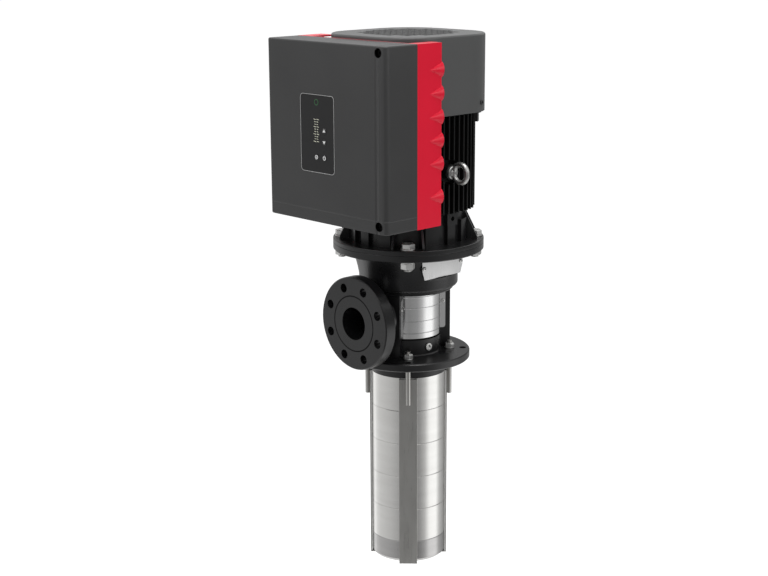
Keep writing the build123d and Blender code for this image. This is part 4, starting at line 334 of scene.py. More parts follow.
@dataclass(frozen=True)
class TurnedSteel(Finish):
    """Bright sheet steel with fine lines that run round the upright axis."""

    name: str = "turned_steel"
    tone: tuple = (0.62, 0.615, 0.6)
    low_tone: tuple = (0.58, 0.575, 0.56)
    gloss: tuple = (0.15, 0.2)
    line_turns: float = 1.2
    line_scale: float = 900.0
    line_strength: float = 0.25
    line_depth: float = 0.00002
    band_turns: float = 0.4
    band_scale: float = 60.0

    def fill(self, book: NodeBook) -> None:
        """Sets the shader's inputs.

        Args:
            book: The node book of the new material.
        """
        lines = book.noise(book.around(self.line_turns, self.line_scale), 1.0, FINE_DETAIL)
        bands = book.noise(book.around(self.band_turns, self.band_scale), 1.0)
        book.set(
            Base_Color=book.tint(bands, self.low_tone, self.tone),
            Metallic=1.0,
            Roughness=book.span(lines, *self.gloss),
            Normal=book.bump(lines, self.line_strength, self.line_depth),
        )


@dataclass(frozen=True)
class BrushedSteel(Finish):
    """Flat or bent steel sheet with brushing along one axis."""

    tone: tuple
    low_tone: tuple
    gloss: tuple = (0.26, 0.42)
    brush: tuple = (900.0, 900.0, 12.0)
    brush_strength: float = 0.3
    brush_depth: float = 0.00005
    cloud_scale: float = 14.0

    def fill(self, book: NodeBook) -> None:
        """Sets the shader's inputs.

        Args:
            book: The node book of the new material.
        """
        grain = book.noise(book.place(self.brush), 1.0)
        cloud = book.noise(book.place(), self.cloud_scale)
        book.set(
            Base_Color=book.tint(cloud, self.low_tone, self.tone),
            Metallic=1.0,
            Roughness=book.span(grain, *self.gloss),
            Normal=book.bump(grain, self.brush_strength, self.brush_depth),
        )


@dataclass(frozen=True)
class ZincSteel(Finish):
    """Zinc plated steel of the screws, bolts and nuts."""

    name: str = "zinc_steel"
    tone: tuple = (0.62, 0.62, 0.61)
    low_tone: tuple = (0.56, 0.56, 0.55)
    gloss: tuple = (0.34, 0.42)
    cloud_scale: float = 70.0
    bump_strength: float = 0.1
    bump_depth: float = 0.00005

    def fill(self, book: NodeBook) -> None:
        """Sets the shader's inputs.

        Args:
            book: The node book of the new material.
        """
        cloud = book.noise(book.place(), self.cloud_scale, FINE_DETAIL)
        book.set(
            Base_Color=book.tint(cloud, self.low_tone, self.tone),
            Metallic=1.0,
            Roughness=book.span(cloud, *self.gloss),
            Normal=book.bump(cloud, self.bump_strength, self.bump_depth),
        )


class Axis(Enum):
    """An axis of the shared frame, by its place among the coordinates."""

    X = 0
    Z = 2


@dataclass(frozen=True)
class Crease:
    """Straight valley that a coat shows at a place along an axis; a negative depth makes a ridge."""

    axis: Axis
    place: float
    half_width: float
    depth: float


@dataclass(frozen=True)
class PowderCoat(Finish):
    """Satin coat with a fine even grain, used on covers."""

    tone: tuple
    light_tone: tuple
    gloss: tuple = (0.42, 0.52)
    cloud_scale: float = 5.0
    grain_scale: float = 1500.0
    grain_depth: float = 0.00004
    specular: float = 0.4
    creases: tuple[Crease, ...] = ()

    def fill(self, book: NodeBook) -> None:
        """Sets the shader's inputs, its grain and creases added up to one height.

        Args:
            book: The node book of the new material.
        """
        spot = book.place()
        grain = book.noise(spot, self.grain_scale, FINE_DETAIL)
        cloud = book.noise(spot, self.cloud_scale)
        height = grain * self.grain_depth
        axes = book.axes()
        for crease in self.creases:
            away = axes[crease.axis.value].distance(crease.place) * (1 / crease.half_width)
            height = height + away.lesser(1.0) * crease.depth
        book.set(
            Base_Color=book.tint(cloud, self.tone, self.light_tone),
            Roughness=book.span(grain, *self.gloss),
            Specular_IOR_Level=self.specular,
            Normal=book.bump(height, 1.0, 1.0),
        )


@dataclass(frozen=True)
class RedPlastic(Finish):
    """Red moulded plastic with a smooth satin skin."""

    name: str = "red_plastic"
    tone: tuple = (0.68, 0.004, 0.028)
    deep_tone: tuple = (0.64, 0.003, 0.025)
    gloss: tuple = (0.3, 0.38)
    specular: float = 0.25
    cloud_scale: float = 12.0
    skin_scale: float = 900.0
    skin_strength: float = 0.2
    skin_depth: float = 0.00008

    def fill(self, book: NodeBook) -> None:
        """Sets the shader's inputs.

        Args:
            book: The node book of the new material.
        """
        spot = book.place()
        cloud = book.noise(spot, self.cloud_scale)
        skin = book.noise(spot, self.skin_scale, FINE_DETAIL)
        book.set(
            Base_Color=book.tint(cloud, self.deep_tone, self.tone),
            Roughness=book.span(skin, *self.gloss),
            Specular_IOR_Level=self.specular,
            Normal=book.bump(skin, self.skin_strength, self.skin_depth),
        )


@dataclass(frozen=True)
class PlainSkin(Finish):
    """Simple moulded, printed or bare skin with slight unevenness."""

    tone: tuple
    spread: float = 0.85
    gloss: tuple = (0.4, 0.5)
    metallic: float = 0.0
    scale: float = 60.0
    specular: float = 0.5
    bump_strength: float = 0.1
    bump_depth: float = 0.0001

    def fill(self, book: NodeBook) -> None:
        """Sets the shader's inputs.

        Args:
            book: The node book of the new material.
        """
        cloud = book.noise(book.place(), self.scale)
        low_tone = tuple(part * self.spread for part in self.tone)
        book.set(
            Base_Color=book.tint(cloud, low_tone, self.tone),
            Metallic=self.metallic,
            Specular_IOR_Level=self.specular,
            Roughness=book.span(cloud, *self.gloss),
            Normal=book.bump(cloud, self.bump_strength, self.bump_depth),
        )


@dataclass(frozen=True)
class Glow(Finish):
    """Printed mark that is lit from behind."""

    tone: tuple
    strength: float
    cloud_scale: float = 400.0
    dim_share: float = 0.7
    roughness: float = 0.4

    def fill(self, book: NodeBook) -> None:
        """Sets the shader's inputs.

        Args:
            book: The node book of the new material.
        """
        cloud = book.noise(book.place(), self.cloud_scale, FINE_DETAIL)
        tint = book.tint(cloud, tuple(part * self.dim_share for part in self.tone), self.tone)
        book.set(
            Base_Color=tint,
            Emission_Color=tint,
            Emission_Strength=self.strength,
            Roughness=self.roughness,
        )


CAST = CastPaint()
FIN_CASTING = CastPaint(
    name="fin_casting", tone=(0.004, 0.004, 0.004), dusty_tone=(0.007, 0.007, 0.007)
)
CHAMBER_STEEL = TurnedSteel()
INLET_STEEL = TurnedSteel(name="inlet_steel", tone=(0.42, 0.415, 0.41), low_tone=(0.38, 0.375, 0.37))
SHAFT_STEEL = TurnedSteel(name="shaft_steel", gloss=(0.14, 0.24))
STRAP_STEEL = BrushedSteel("strap_steel", tone=(0.42, 0.415, 0.4), low_tone=(0.37, 0.365, 0.35))
GUARD_STEEL = BrushedSteel("guard_steel", tone=(0.62, 0.62, 0.62), low_tone=(0.52, 0.52, 0.52))
COUPLING_STEEL = BrushedSteel(
    "coupling_steel", tone=(0.64, 0.64, 0.64), low_tone=(0.58, 0.58, 0.58), gloss=(0.14, 0.2)
)
ZINC = ZincSteel()
COVER_COAT = PowderCoat(
    name="cover_coat",
    tone=(0.024, 0.024, 0.0245),
    light_tone=(0.03, 0.03, 0.0305),
    creases=(
        Crease(Axis.X, place=VALLEY_PLACE, half_width=0.0055, depth=0.0022),
        Crease(Axis.Z, place=COVER_RIDGE_HEIGHT, half_width=0.0011, depth=-0.0005),
    ),
)
FAN_COAT = PowderCoat("fan_coat", tone=(0.06, 0.061, 0.061), light_tone=(0.068, 0.069, 0.069))
RED = RedPlastic()
BLACK_PLASTIC = PlainSkin("black_plastic", (0.012, 0.012, 0.012))
# Near black with hardly any gloss: the box screws' own colour, and painted shade on the groove ring and in
# the screw recesses.
DEEP_BLACK = PlainSkin(
    "deep_black", (0.002, 0.002, 0.002), spread=0.9, gloss=(0.5, 0.6), specular=0.06
)
# Light non-metallic grey on the strap edges: a painted highlight standing for the bright line the steel
# edges reflect.
STRAP_HIGHLIGHT_EDGE = PlainSkin("strap_edge", (0.62, 0.62, 0.61), spread=0.95)
EYE_STEEL = PlainSkin("eye_steel", (0.42, 0.42, 0.41), spread=0.9, gloss=(0.36, 0.46), metallic=1.0)
FOIL = PlainSkin("foil", (0.007, 0.007, 0.0075), spread=0.95, gloss=(0.36, 0.42), specular=0.3)
FOIL_EDGE = PlainSkin("foil_edge", (0.42, 0.42, 0.42))
KEY_PRINT = PlainSkin("key_print", (0.75, 0.75, 0.75))
KEY_CAP = PlainSkin("key_cap", (0.012, 0.012, 0.0125), spread=0.95, gloss=(0.34, 0.42))
BAR_LIGHT = PlainSkin("bar_light", (0.62, 0.62, 0.5))
GREEN_LIGHT = Glow("green_light", (0.012, 0.08, 0.022), strength=0.15)
LAMINATION = PlainSkin(
    "lamination", (0.3, 0.3, 0.31), spread=0.8, gloss=(0.3, 0.5), metallic=1.0, scale=300.0
)
COPPER = PlainSkin("copper", (0.5, 0.2, 0.08), spread=0.8, gloss=(0.3, 0.45), metallic=1.0, scale=200.0)
BEARING_PLASTIC = PlainSkin("bearing_plastic", (0.6, 0.56, 0.46))
BARE_ALUMINIUM = PlainSkin(
    "bare_aluminium", (0.45, 0.45, 0.46), gloss=(0.35, 0.5), metallic=1.0, scale=120.0
)
BOARD = PlainSkin("board", (0.02, 0.16, 0.06))


class Paintbox:
    """Keeps each finish's material, built once."""

    made: dict[str, bpy.types.Material] = {}

    @classmethod
    def dress(cls, piece: bpy.types.Object, finish: Finish) -> None:
        """Gives a piece one finish.

        Args:
            piece: A mesh object.
            finish: Any of the finishes above.
        """
        if finish.name not in cls.made:
            cls.made[finish.name] = finish.material()
        piece.data.materials.clear()
        piece.data.materials.append(cls.made[finish.name])


class Bench:
    """Modelling steps that the pieces share."""

    WELD = 2e-6
    FLAT_ANGLE = math.radians(0.15)
    LARGE_FACE_WEIGHT = 80

    @staticmethod
    def clear() -> None:
        """Deselects everything."""
        bpy.ops.object.select_all(action="DESELECT")

    @staticmethod
    def take(piece: bpy.types.Object) -> None:
        """Selects one object and makes it active.

        Args:
            piece: The object.
        """
        Bench.clear()
        piece.select_set(True)
        bpy.context.view_layer.objects.active = piece

    @staticmethod
    @contextmanager
    def editing(piece: bpy.types.Object, action: str | None = "SELECT") -> Iterator[None]:
        """Opens a piece in edit mode and closes it again.

        Args:
            piece: The mesh object.
            action: What is done to the selection first; none keeps it.

        Yields:
            Nothing, while the piece is open.
        """
        Bench.take(piece)
        bpy.ops.object.mode_set(mode="EDIT")
        if action:
            bpy.ops.mesh.select_all(action=action)
        yield
        bpy.ops.object.mode_set(mode="OBJECT")

    @staticmethod
    def smooth(piece: bpy.types.Object, degrees: float = 32.0) -> None:
        """Shades smooth over edges that turn less than some degrees."""
        Bench.take(piece)
        bpy.ops.object.shade_smooth_by_angle(angle=math.radians(degrees))

    @staticmethod
    def even(piece: bpy.types.Object) -> None:
        """Lets large faces set the normals, so that flats stay flat beside their rounded edges.

        Args:
            piece: The mesh object, already shaded smooth.
        """
        Bench.take(piece)
        weighing = piece.modifiers.new("even_normals", "WEIGHTED_NORMAL")
        weighing.keep_sharp = True
        weighing.weight = Bench.LARGE_FACE_WEIGHT
        bpy.ops.object.modifier_apply(modifier=weighing.name)

    @staticmethod
    def round_edges(piece: bpy.types.Object, width: float, segments: int = 2, angle: float = 40.0) -> None:
        """Bevels the sharp edges of a piece and applies the bevel.

        Args:
            piece: The mesh object.
            width: Width of the rounding in metres.
            segments: Faces across the rounding.
            angle: Edges sharper than this many degrees are rounded.
        """
        Bench.take(piece)
        bevel = piece.modifiers.new("rounding", "BEVEL")
        bevel.width = width
        bevel.segments = segments
        bevel.limit_method = "ANGLE"
        bevel.angle_limit = math.radians(angle)
        bevel.use_clamp_overlap = True
        bevel.miter_outer = "MITER_ARC"
        bpy.ops.object.modifier_apply(modifier=bevel.name)

    @staticmethod
    def settled(name: str) -> bpy.types.Object:
        """Names the primitive that was just added and moves its place into its mesh.

        Args:
            name: Name of the new object.

        Returns:
            The object, at the origin.
        """
        piece = bpy.context.active_object
        piece.name = name
        Bench.take(piece)
        bpy.ops.object.transform_apply(location=True, rotation=True, scale=True)
        return piece

    @staticmethod
    def bar(spot: tuple, size: tuple) -> bpy.types.Object:
        """Makes one straight bar.

        Args:
            spot: Its middle.
            size: Its size along the axes.

        Returns:
            The mesh object.
        """
        Bench.clear()
        bpy.ops.mesh.primitive_cube_add(size=1, location=spot, scale=size)
        return Bench.settled("bar")

    @staticmethod
    def hold(name: str, mesh: bpy.types.Mesh) -> bpy.types.Object:
        """Puts a mesh into the scene.

        Args:
            name: Name of the new object.
            mesh: Its mesh.

        Returns:
            The object.
        """
        piece = bpy.data.objects.new(name, mesh)
        bpy.context.scene.collection.objects.link(piece)
        return piece

    @staticmethod
    def weld(piece: bpy.types.Object, flatten: bool = True) -> None:
        """Merges the doubles of a piece.

        Args:
            piece: The mesh object.
            flatten: Whether flat triangles become whole faces too.
        """
        with Bench.editing(piece):
            bpy.ops.mesh.remove_doubles(threshold=Bench.WELD)
            if flatten:
                bpy.ops.mesh.dissolve_limited(angle_limit=Bench.FLAT_ANGLE)

    @staticmethod
    def from_node(frame: dict, node: str, name: str, flatten: bool = True) -> bpy.types.Object:
        """Copies a solid's mesh and welds its loose triangles.

        Args:
            node: The solid's name.
            name: Name of the new piece.
            flatten: Whether flat triangles become whole faces; a plate full of holes keeps them.

        Returns:
            The new mesh object, not yet riding on anything.
        """
        mesh = frame["nodes"][node].data.copy()
        piece = Bench.hold(name, mesh)
        Bench.weld(piece, flatten)
        if mesh.has_custom_normals:
            bpy.ops.mesh.customdata_custom_splitnormals_clear()
        return piece

    @staticmethod
    def close_ends() -> None:
        """Fills the open ends of the piece in edit mode and turns its faces outwards."""
        bpy.ops.mesh.select_all(action="DESELECT")
        bpy.ops.mesh.select_non_manifold()
        bpy.ops.mesh.fill_holes(sides=0)
        bpy.ops.mesh.select_all(action="SELECT")
        bpy.ops.mesh.normals_make_consistent(inside=False)

    @staticmethod
    def lathe(name: str, profile: list, segments: int, turn: Matrix | None = None) -> bpy.types.Object:
        """Turns a profile by drawing a circle out and up, point by point.

        Args:
            name: Name of the piece.
            profile: Points of (radius, height) in metres, in order along the skin.
            segments: Sides of the circle; six make a hexagon.
            turn: Where the turned piece stands.

        Returns:
            The new mesh object with its ends closed where they aren't on the axis.
        """
        Bench.clear()
        radius, height = profile[0]
        bpy.ops.mesh.primitive_circle_add(vertices=segments, radius=radius, location=(0, 0, height))
        piece = Bench.settled(name)
        with Bench.editing(piece):
            for next_radius, next_height in profile[1:]:
                rise = {"value": (0, 0, next_height - height)}
                bpy.ops.mesh.extrude_region_move(TRANSFORM_OT_translate=rise)
                scale = next_radius / radius
                bpy.ops.transform.resize(value=(scale, scale, 1), center_override=(0, 0, next_height))
                radius, height = next_radius, next_height
            bpy.ops.mesh.select_all(action="SELECT")
            bpy.ops.mesh.remove_doubles(threshold=Bench.WELD)
            Bench.close_ends()
        if turn is not None:
            piece.data.transform(turn)
        return piece

    @staticmethod
    def join(name: str, parts: list[bpy.types.Object]) -> bpy.types.Object:
        """Joins objects into one piece.

        Args:
            name: Name of the piece.
            parts: The objects, the first of which takes up the rest.

        Returns:
            The piece.
        """
        Bench.clear()
        for part in parts:
            part.select_set(True)
        bpy.context.view_layer.objects.active = parts[0]
        bpy.ops.object.join()
        parts[0].name = name
        return parts[0]


def standing(x: float, y: float, z: float, towards: Vector | tuple = UP) -> Matrix:
    """Place for a turned piece whose own Z points along a direction.

    Args:
        x: Place along X in metres.
        y: Place along Y in metres.
        z: Height in metres.
        towards: The direction its axis points.

    Returns:
        The matrix.
    """
    turn = Vector(UP).rotation_difference(Vector(towards)).to_matrix().to_4x4()
    return Matrix.Translation((x, y, z)) @ turn


def corners(circle: float) -> Iterator[tuple[float, float]]:
    """Places (x, y) of the four copies on a circle round the upright axis."""
    for angle in CORNER_ANGLES:
        yield circle * math.cos(angle), circle * math.sin(angle)


def band(inner: float, outer: float, thickness: float) -> list:
    """Closed profile of a flat ring that stands on nought."""
    return [(inner, 0.0), (outer, 0.0), (outer, thickness), (inner, thickness), (inner, 0.0)]


def finish_piece(
    piece: bpy.types.Object, finish: Finish, body: str = "pump_body"
) -> bpy.types.Object:
    """Shades, dresses and attaches a new piece.

    Args:
        piece: The mesh object.
        finish: Its finish.
        body: The body it moves with.

    Returns:
        The same object.
    """
    Bench.smooth(piece)
    Bench.even(piece)
    Paintbox.dress(piece, finish)
    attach(piece, body)
    LOG.info("built %s", piece.name)
    return piece


class Dress(Enum):
    """Hidden or plain solids that keep their shape, by finish."""

    CASTINGS = (CAST, ("rear_end_shield",))
    TURNED = (SHAFT_STEEL, ("pump_shaft", "motor_shaft", "coupling_halves", "bearing_inner_rings",
                            "bearing_outer_rings", "seal_rotor", "seal_housing"))
    WHEELS = (CHAMBER_STEEL, (*(f"impeller_{level}" for level in range(1, 6)), "inlet_strainer"))
    SCREWS = (ZINC, ("head_screws", "coupling_screws"))
    CORES = (LAMINATION, ("stator_core", "rotor_core"))
    WINDINGS = (COPPER, ("stator_windings",))
    RINGS = (BEARING_PLASTIC, ("neck_rings",))
    PLASTICS = (BLACK_PLASTIC, ("fan", "blind_plugs"))
    BOARDS = (BOARD, ("control_board", "power_board"))
    SINK = (BARE_ALUMINIUM, ("heat_sink",))

    def apply(self, frame: dict) -> None:
        """Gives the solids their finish.
        """
        finish, nodes = self.value
        for node in nodes:
            Paintbox.dress(frame["nodes"][node], finish)


@dataclass(frozen=True)
class Rim:
    """Round edge of a casting, a circle round the upright axis."""

    radius: float
    height: float
    rounding: float
    reach: float = 0.0003

    def holds(self, spot: Vector) -> bool:
        """Whether a point lies on the rim."""
        out = math.hypot(spot.x, spot.y)
        return abs(out - self.radius) < self.reach and abs(spot.z - self.height) < self.reach


@dataclass(frozen=True)
class Channel:
    """Shallow upright channel in a front face."""

    middle: float
    half_width: float
    front: float
    depth: float

    def holds(self, spot: Vector) -> bool:
        """Whether a point lies in the channel."""
        return abs(spot.x - self.middle) < self.half_width and self.front < spot.y < self.front + self.depth


@dataclass(frozen=True)
class Refined:
    """A solid taken over as a welded copy, most of them with rounded edges."""

    node: str
    finish: Finish
    slot: str
    rounding: float = 0.0006
    segments: int = 2
    rims: tuple[Rim, ...] = ()
    rim_segments: int = 4
    channel: Channel | None = None
    smooth_degrees: float = 32.0
    flatten: bool = True

    def _round_rim(self, piece: bpy.types.Object, rim: Rim) -> None:
        """Bevels the edges of one rim.

        Args:
            piece: The copy.
            rim: The rim.
        """
        with Bench.editing(piece, "DESELECT"):
            bpy.ops.mesh.select_mode(type="EDGE")
        on_rim = {spot.index for spot in piece.data.vertices if rim.holds(spot.co)}
        for edge in piece.data.edges:
            edge.select = on_rim.issuperset(edge.vertices)
        with Bench.editing(piece, None):
            bpy.ops.mesh.bevel(offset=rim.rounding, segments=self.rim_segments)
            bpy.ops.mesh.select_mode(type="VERT")

    def _level_channel(self, piece: bpy.types.Object, channel: Channel) -> None:
        """Brings a channel flush with the front; its soft valley is the finish's.

        Args:
            piece: The copy.
            channel: The channel.
        """
        for spot in piece.data.vertices:
            if channel.holds(spot.co):
                spot.co.y = channel.front
        Bench.weld(piece)

    def build(self, frame: dict) -> None:
        """Makes the copy, rounds it and lets it stand for the solid.
        """
        piece = Bench.from_node(frame, self.node, f"{self.node}_skin", self.flatten)
        if self.channel:
            self._level_channel(piece, self.channel)
        for rim in self.rims:
            self._round_rim(piece, rim)
        if self.rounding > 0:
            Bench.round_edges(piece, self.rounding, self.segments)
        Bench.smooth(piece, self.smooth_degrees)
        Bench.even(piece)
        Paintbox.dress(piece, self.finish)
        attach(piece, "pump_body")
        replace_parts(piece, self.node)
        LOG.info("%s stands for %s", piece.name, self.node)


@dataclass
class PhotoCamera:
    """Camera that sees the pump as the photo does."""

    focal_px: float = 1453.5
    heading_deg: float = 45.45
    distance: float = 2.83811
    height: float = 0.84443
    pitch_deg: float = 13.94
    yaw_deg: float = 0.99
    roll_deg: float = -0.27
    clip_end: float = 60.0

    def build(self) -> None:
        """Creates the camera and makes it the scene's."""
        heading = math.radians(self.heading_deg)
        look = heading + math.radians(self.yaw_deg)
        pitch = math.radians(self.pitch_deg)
        roll = math.radians(self.roll_deg)
        flat = math.cos(pitch)
        forward = Vector((-math.sin(look) * flat, math.cos(look) * flat, -math.sin(pitch)))
        level_right = Vector((math.cos(look), math.sin(look), 0))
        level_up = level_right.cross(forward)
        right = level_right * math.cos(roll) + level_up * math.sin(roll)
        up = level_up * math.cos(roll) - level_right * math.sin(roll)
        lens = bpy.data.cameras.new("photo_camera")
        lens.sensor_width = SENSOR_WIDTH
        lens.lens = self.focal_px * SENSOR_WIDTH / PHOTO_WIDTH
        lens.clip_end = self.clip_end
        camera = bpy.data.objects.new("photo_camera", lens)
        bpy.context.scene.collection.objects.link(camera)
        turn = Matrix((right, up, -forward)).transposed().to_4x4()
        spot = Vector((self.distance * math.sin(heading), -self.distance * math.cos(heading), self.height))
        camera.matrix_world = Matrix.Translation(spot) @ turn
        bpy.context.scene.camera = camera


@dataclass
class Curtain:
    """Ring of cloth round the pump that only reflections see, light and dark by direction.

    Each level is given at degrees to the right of the camera, seen from the pump. The low levels
    hold below the low edge and the high levels above the high edge.
    """

    radius: float = 1.2
    sides: int = 96
    bottom: float = -1.3
    top: float = 0.74
    camera_azimuth: float = -44.55
    strength: float = 2.0
    low_edge: float = -0.09
    high_edge: float = 0.0
    seam: float = 0.8
    low_levels: tuple = (
        (-148, 0.65), (-126, 1.45), (-112, 1.05), (-98, 0.88), (-75, 0.78), (-55, 0.7), (-34, 0.56),
        (-15, 0.38), (0, 0.3), (33, 0.4), (51, 0.72), (66, 1.5), (92, 1.6), (107, 0.75), (132, 0.42),
        (158, 0.5), (185, 0.6),
    )
    high_levels: tuple = (
        (-126, 1.0), (-112, 0.7), (-90, 0.6), (-34, 0.45), (-15, 0.3), (0, 0.25), (30, 0.25),
        (60, 0.18), (80, 0.12), (96, 0.12), (110, 0.25), (140, 0.4), (180, 0.5), (210, 0.6),
    )

    def build(self) -> None:
        """Hangs the curtain and gives it its levels."""
        Bench.clear()
        bpy.ops.mesh.primitive_cylinder_add(
            vertices=self.sides,
            radius=self.radius,
            depth=self.top - self.bottom,
            end_fill_type="NOTHING",
            location=(0, 0, (self.top + self.bottom) / 2),
        )
        curtain = Bench.settled("curtain")
        book = NodeBook("curtain_levels")
        along_x, along_y, height = book.axes()
        turn = along_x.heading(along_y) * (0.5 / math.pi) + 0.5
        limits = {0: height, 1: self.low_edge, 2: self.high_edge, 3: 0.0, 4: 1.0}
        rise = book.node("ShaderNodeMapRange", {}, limits)
        low, high = (
            book.node("ShaderNodeValToRGB", {"stops": self._stops(levels)}, {0: turn})
            for levels in (self.low_levels, self.high_levels)
        )
        book.set(Base_Color=(0, 0, 0), Roughness=1.0, Specular_IOR_Level=0.0)
        book.set(Emission_Color=book.blend(rise, low, high), Emission_Strength=self.strength)
        curtain.data.materials.append(book.material)
        curtain.visible_camera = False
        curtain.visible_diffuse = False
        curtain.visible_shadow = False

    def _stops(self, levels: tuple) -> list:
        """Ramp stops of some levels, in order round the curtain and closed at its seam.

        Args:
            levels: Pairs of degrees and level.

        Returns:
            Pairs of a place between nought and one and a grey level.
        """
        stops = [
            (((self.camera_azimuth + degrees) / 360 + 0.5) % 1.0, level / self.strength)
            for degrees, level in levels
        ]
        seam = self.seam / self.strength
        return [(0.0, seam), *sorted(stops), (1.0, seam)]


@dataclass(frozen=True)
class Lamp:
    """Soft square lamp that shines from a spot towards an aim."""

    name: str
    spot: tuple
    aim: tuple
    size: float
    power: float

    def build(self) -> None:
        """Hangs the lamp."""
        light = bpy.data.lights.new(self.name, "AREA")
        light.shape = "SQUARE"
        light.size = self.size
        light.energy = self.power
        lamp = bpy.data.objects.new(self.name, light)
        bpy.context.scene.collection.objects.link(lamp)
        away = Vector(self.spot) - Vector(self.aim)
        turn = away.to_track_quat("Z", "Y").to_matrix().to_4x4()
        lamp.matrix_world = Matrix.Translation(self.spot) @ turn


@dataclass
class Studio:
    """White room with soft lamps over a pale floor."""

    floor_height: float = -1.3
    floor_size: float = 120.0
    floor_tone: float = 0.8
    floor_roughness: float = 0.9
    floor_lift: float = 0.62
    room_level: float = 0.5
    lamps: tuple[Lamp, ...] = (
        Lamp("left", spot=(-0.6, -3.2, 1.6), aim=(0, 0, 0.15), size=1.6, power=30.0),
        Lamp("right", spot=(3.0, 0.6, 1.2), aim=(0, 0, 0.1), size=1.2, power=26.0),
        Lamp("top", spot=(0.4, -0.4, 3.4), aim=(0, 0, 0.3), size=2.0, power=75.0),
    )

    def build(self) -> None:
        """Builds world, floor and lamps."""
        bpy.context.scene.view_settings.view_transform = "Standard"
        self._world()
        self._floor()
        for lamp in self.lamps:
            lamp.build()

    def _world(self) -> None:
        """White to the camera and to reflections, softer as a light."""
        world = bpy.data.worlds.new("studio")
        world.use_nodes = True
        bpy.context.scene.world = world
        tree = world.node_tree
        backdrop = tree.nodes["Background"]
        path = tree.nodes.new("ShaderNodeLightPath")
        shown = self._larger(tree, self._seen(tree, path), path.outputs["Is Transmission Ray"])
        level = tree.nodes.new("ShaderNodeMapRange")
        level.inputs["To Min"].default_value = self.room_level
        level.inputs["To Max"].default_value = 1.0
        tree.links.new(shown, level.inputs["Value"])
        tree.links.new(level.outputs[0], backdrop.inputs["Strength"])
        backdrop.inputs["Color"].default_value = (1, 1, 1, 1)

    def _seen(self, tree: bpy.types.NodeTree, path: bpy.types.Node) -> bpy.types.NodeSocket:
        """One where the camera or a reflection looks, nought for other light."""
        return self._larger(tree, path.outputs["Is Camera Ray"], path.outputs["Is Glossy Ray"])

    @staticmethod
    def _larger(
        tree: bpy.types.NodeTree, first: bpy.types.NodeSocket, second: bpy.types.NodeSocket
    ) -> bpy.types.NodeSocket:
        """The larger of two values in a tree.

        Args:
            tree: The node tree of the world or a material.
            first: One value.
            second: The other value.

        Returns:
            The output that holds the larger one.
        """
        node = tree.nodes.new("ShaderNodeMath")
        node.operation = "MAXIMUM"
        tree.links.new(first, node.inputs[0])
        tree.links.new(second, node.inputs[1])
        return node.outputs[0]

    def _floor(self) -> None:
        """Pale floor below the hanging pump that takes its shadow."""
        Bench.clear()
        bpy.ops.mesh.primitive_plane_add(size=self.floor_size, location=(0, 0, self.floor_height))
        floor = Bench.settled("floor")
        book = NodeBook("floor_white")
        book.set(
            Base_Color=(self.floor_tone,) * 3,
            Roughness=self.floor_roughness,
            Specular_IOR_Level=0.0,
            Emission_Color=(self.floor_lift,) * 3,
        )
        path = book.tree.nodes.new("ShaderNodeLightPath")
        book.tree.links.new(self._seen(book.tree, path), book.shader.inputs["Emission Strength"])
        floor.data.materials.append(book.material)


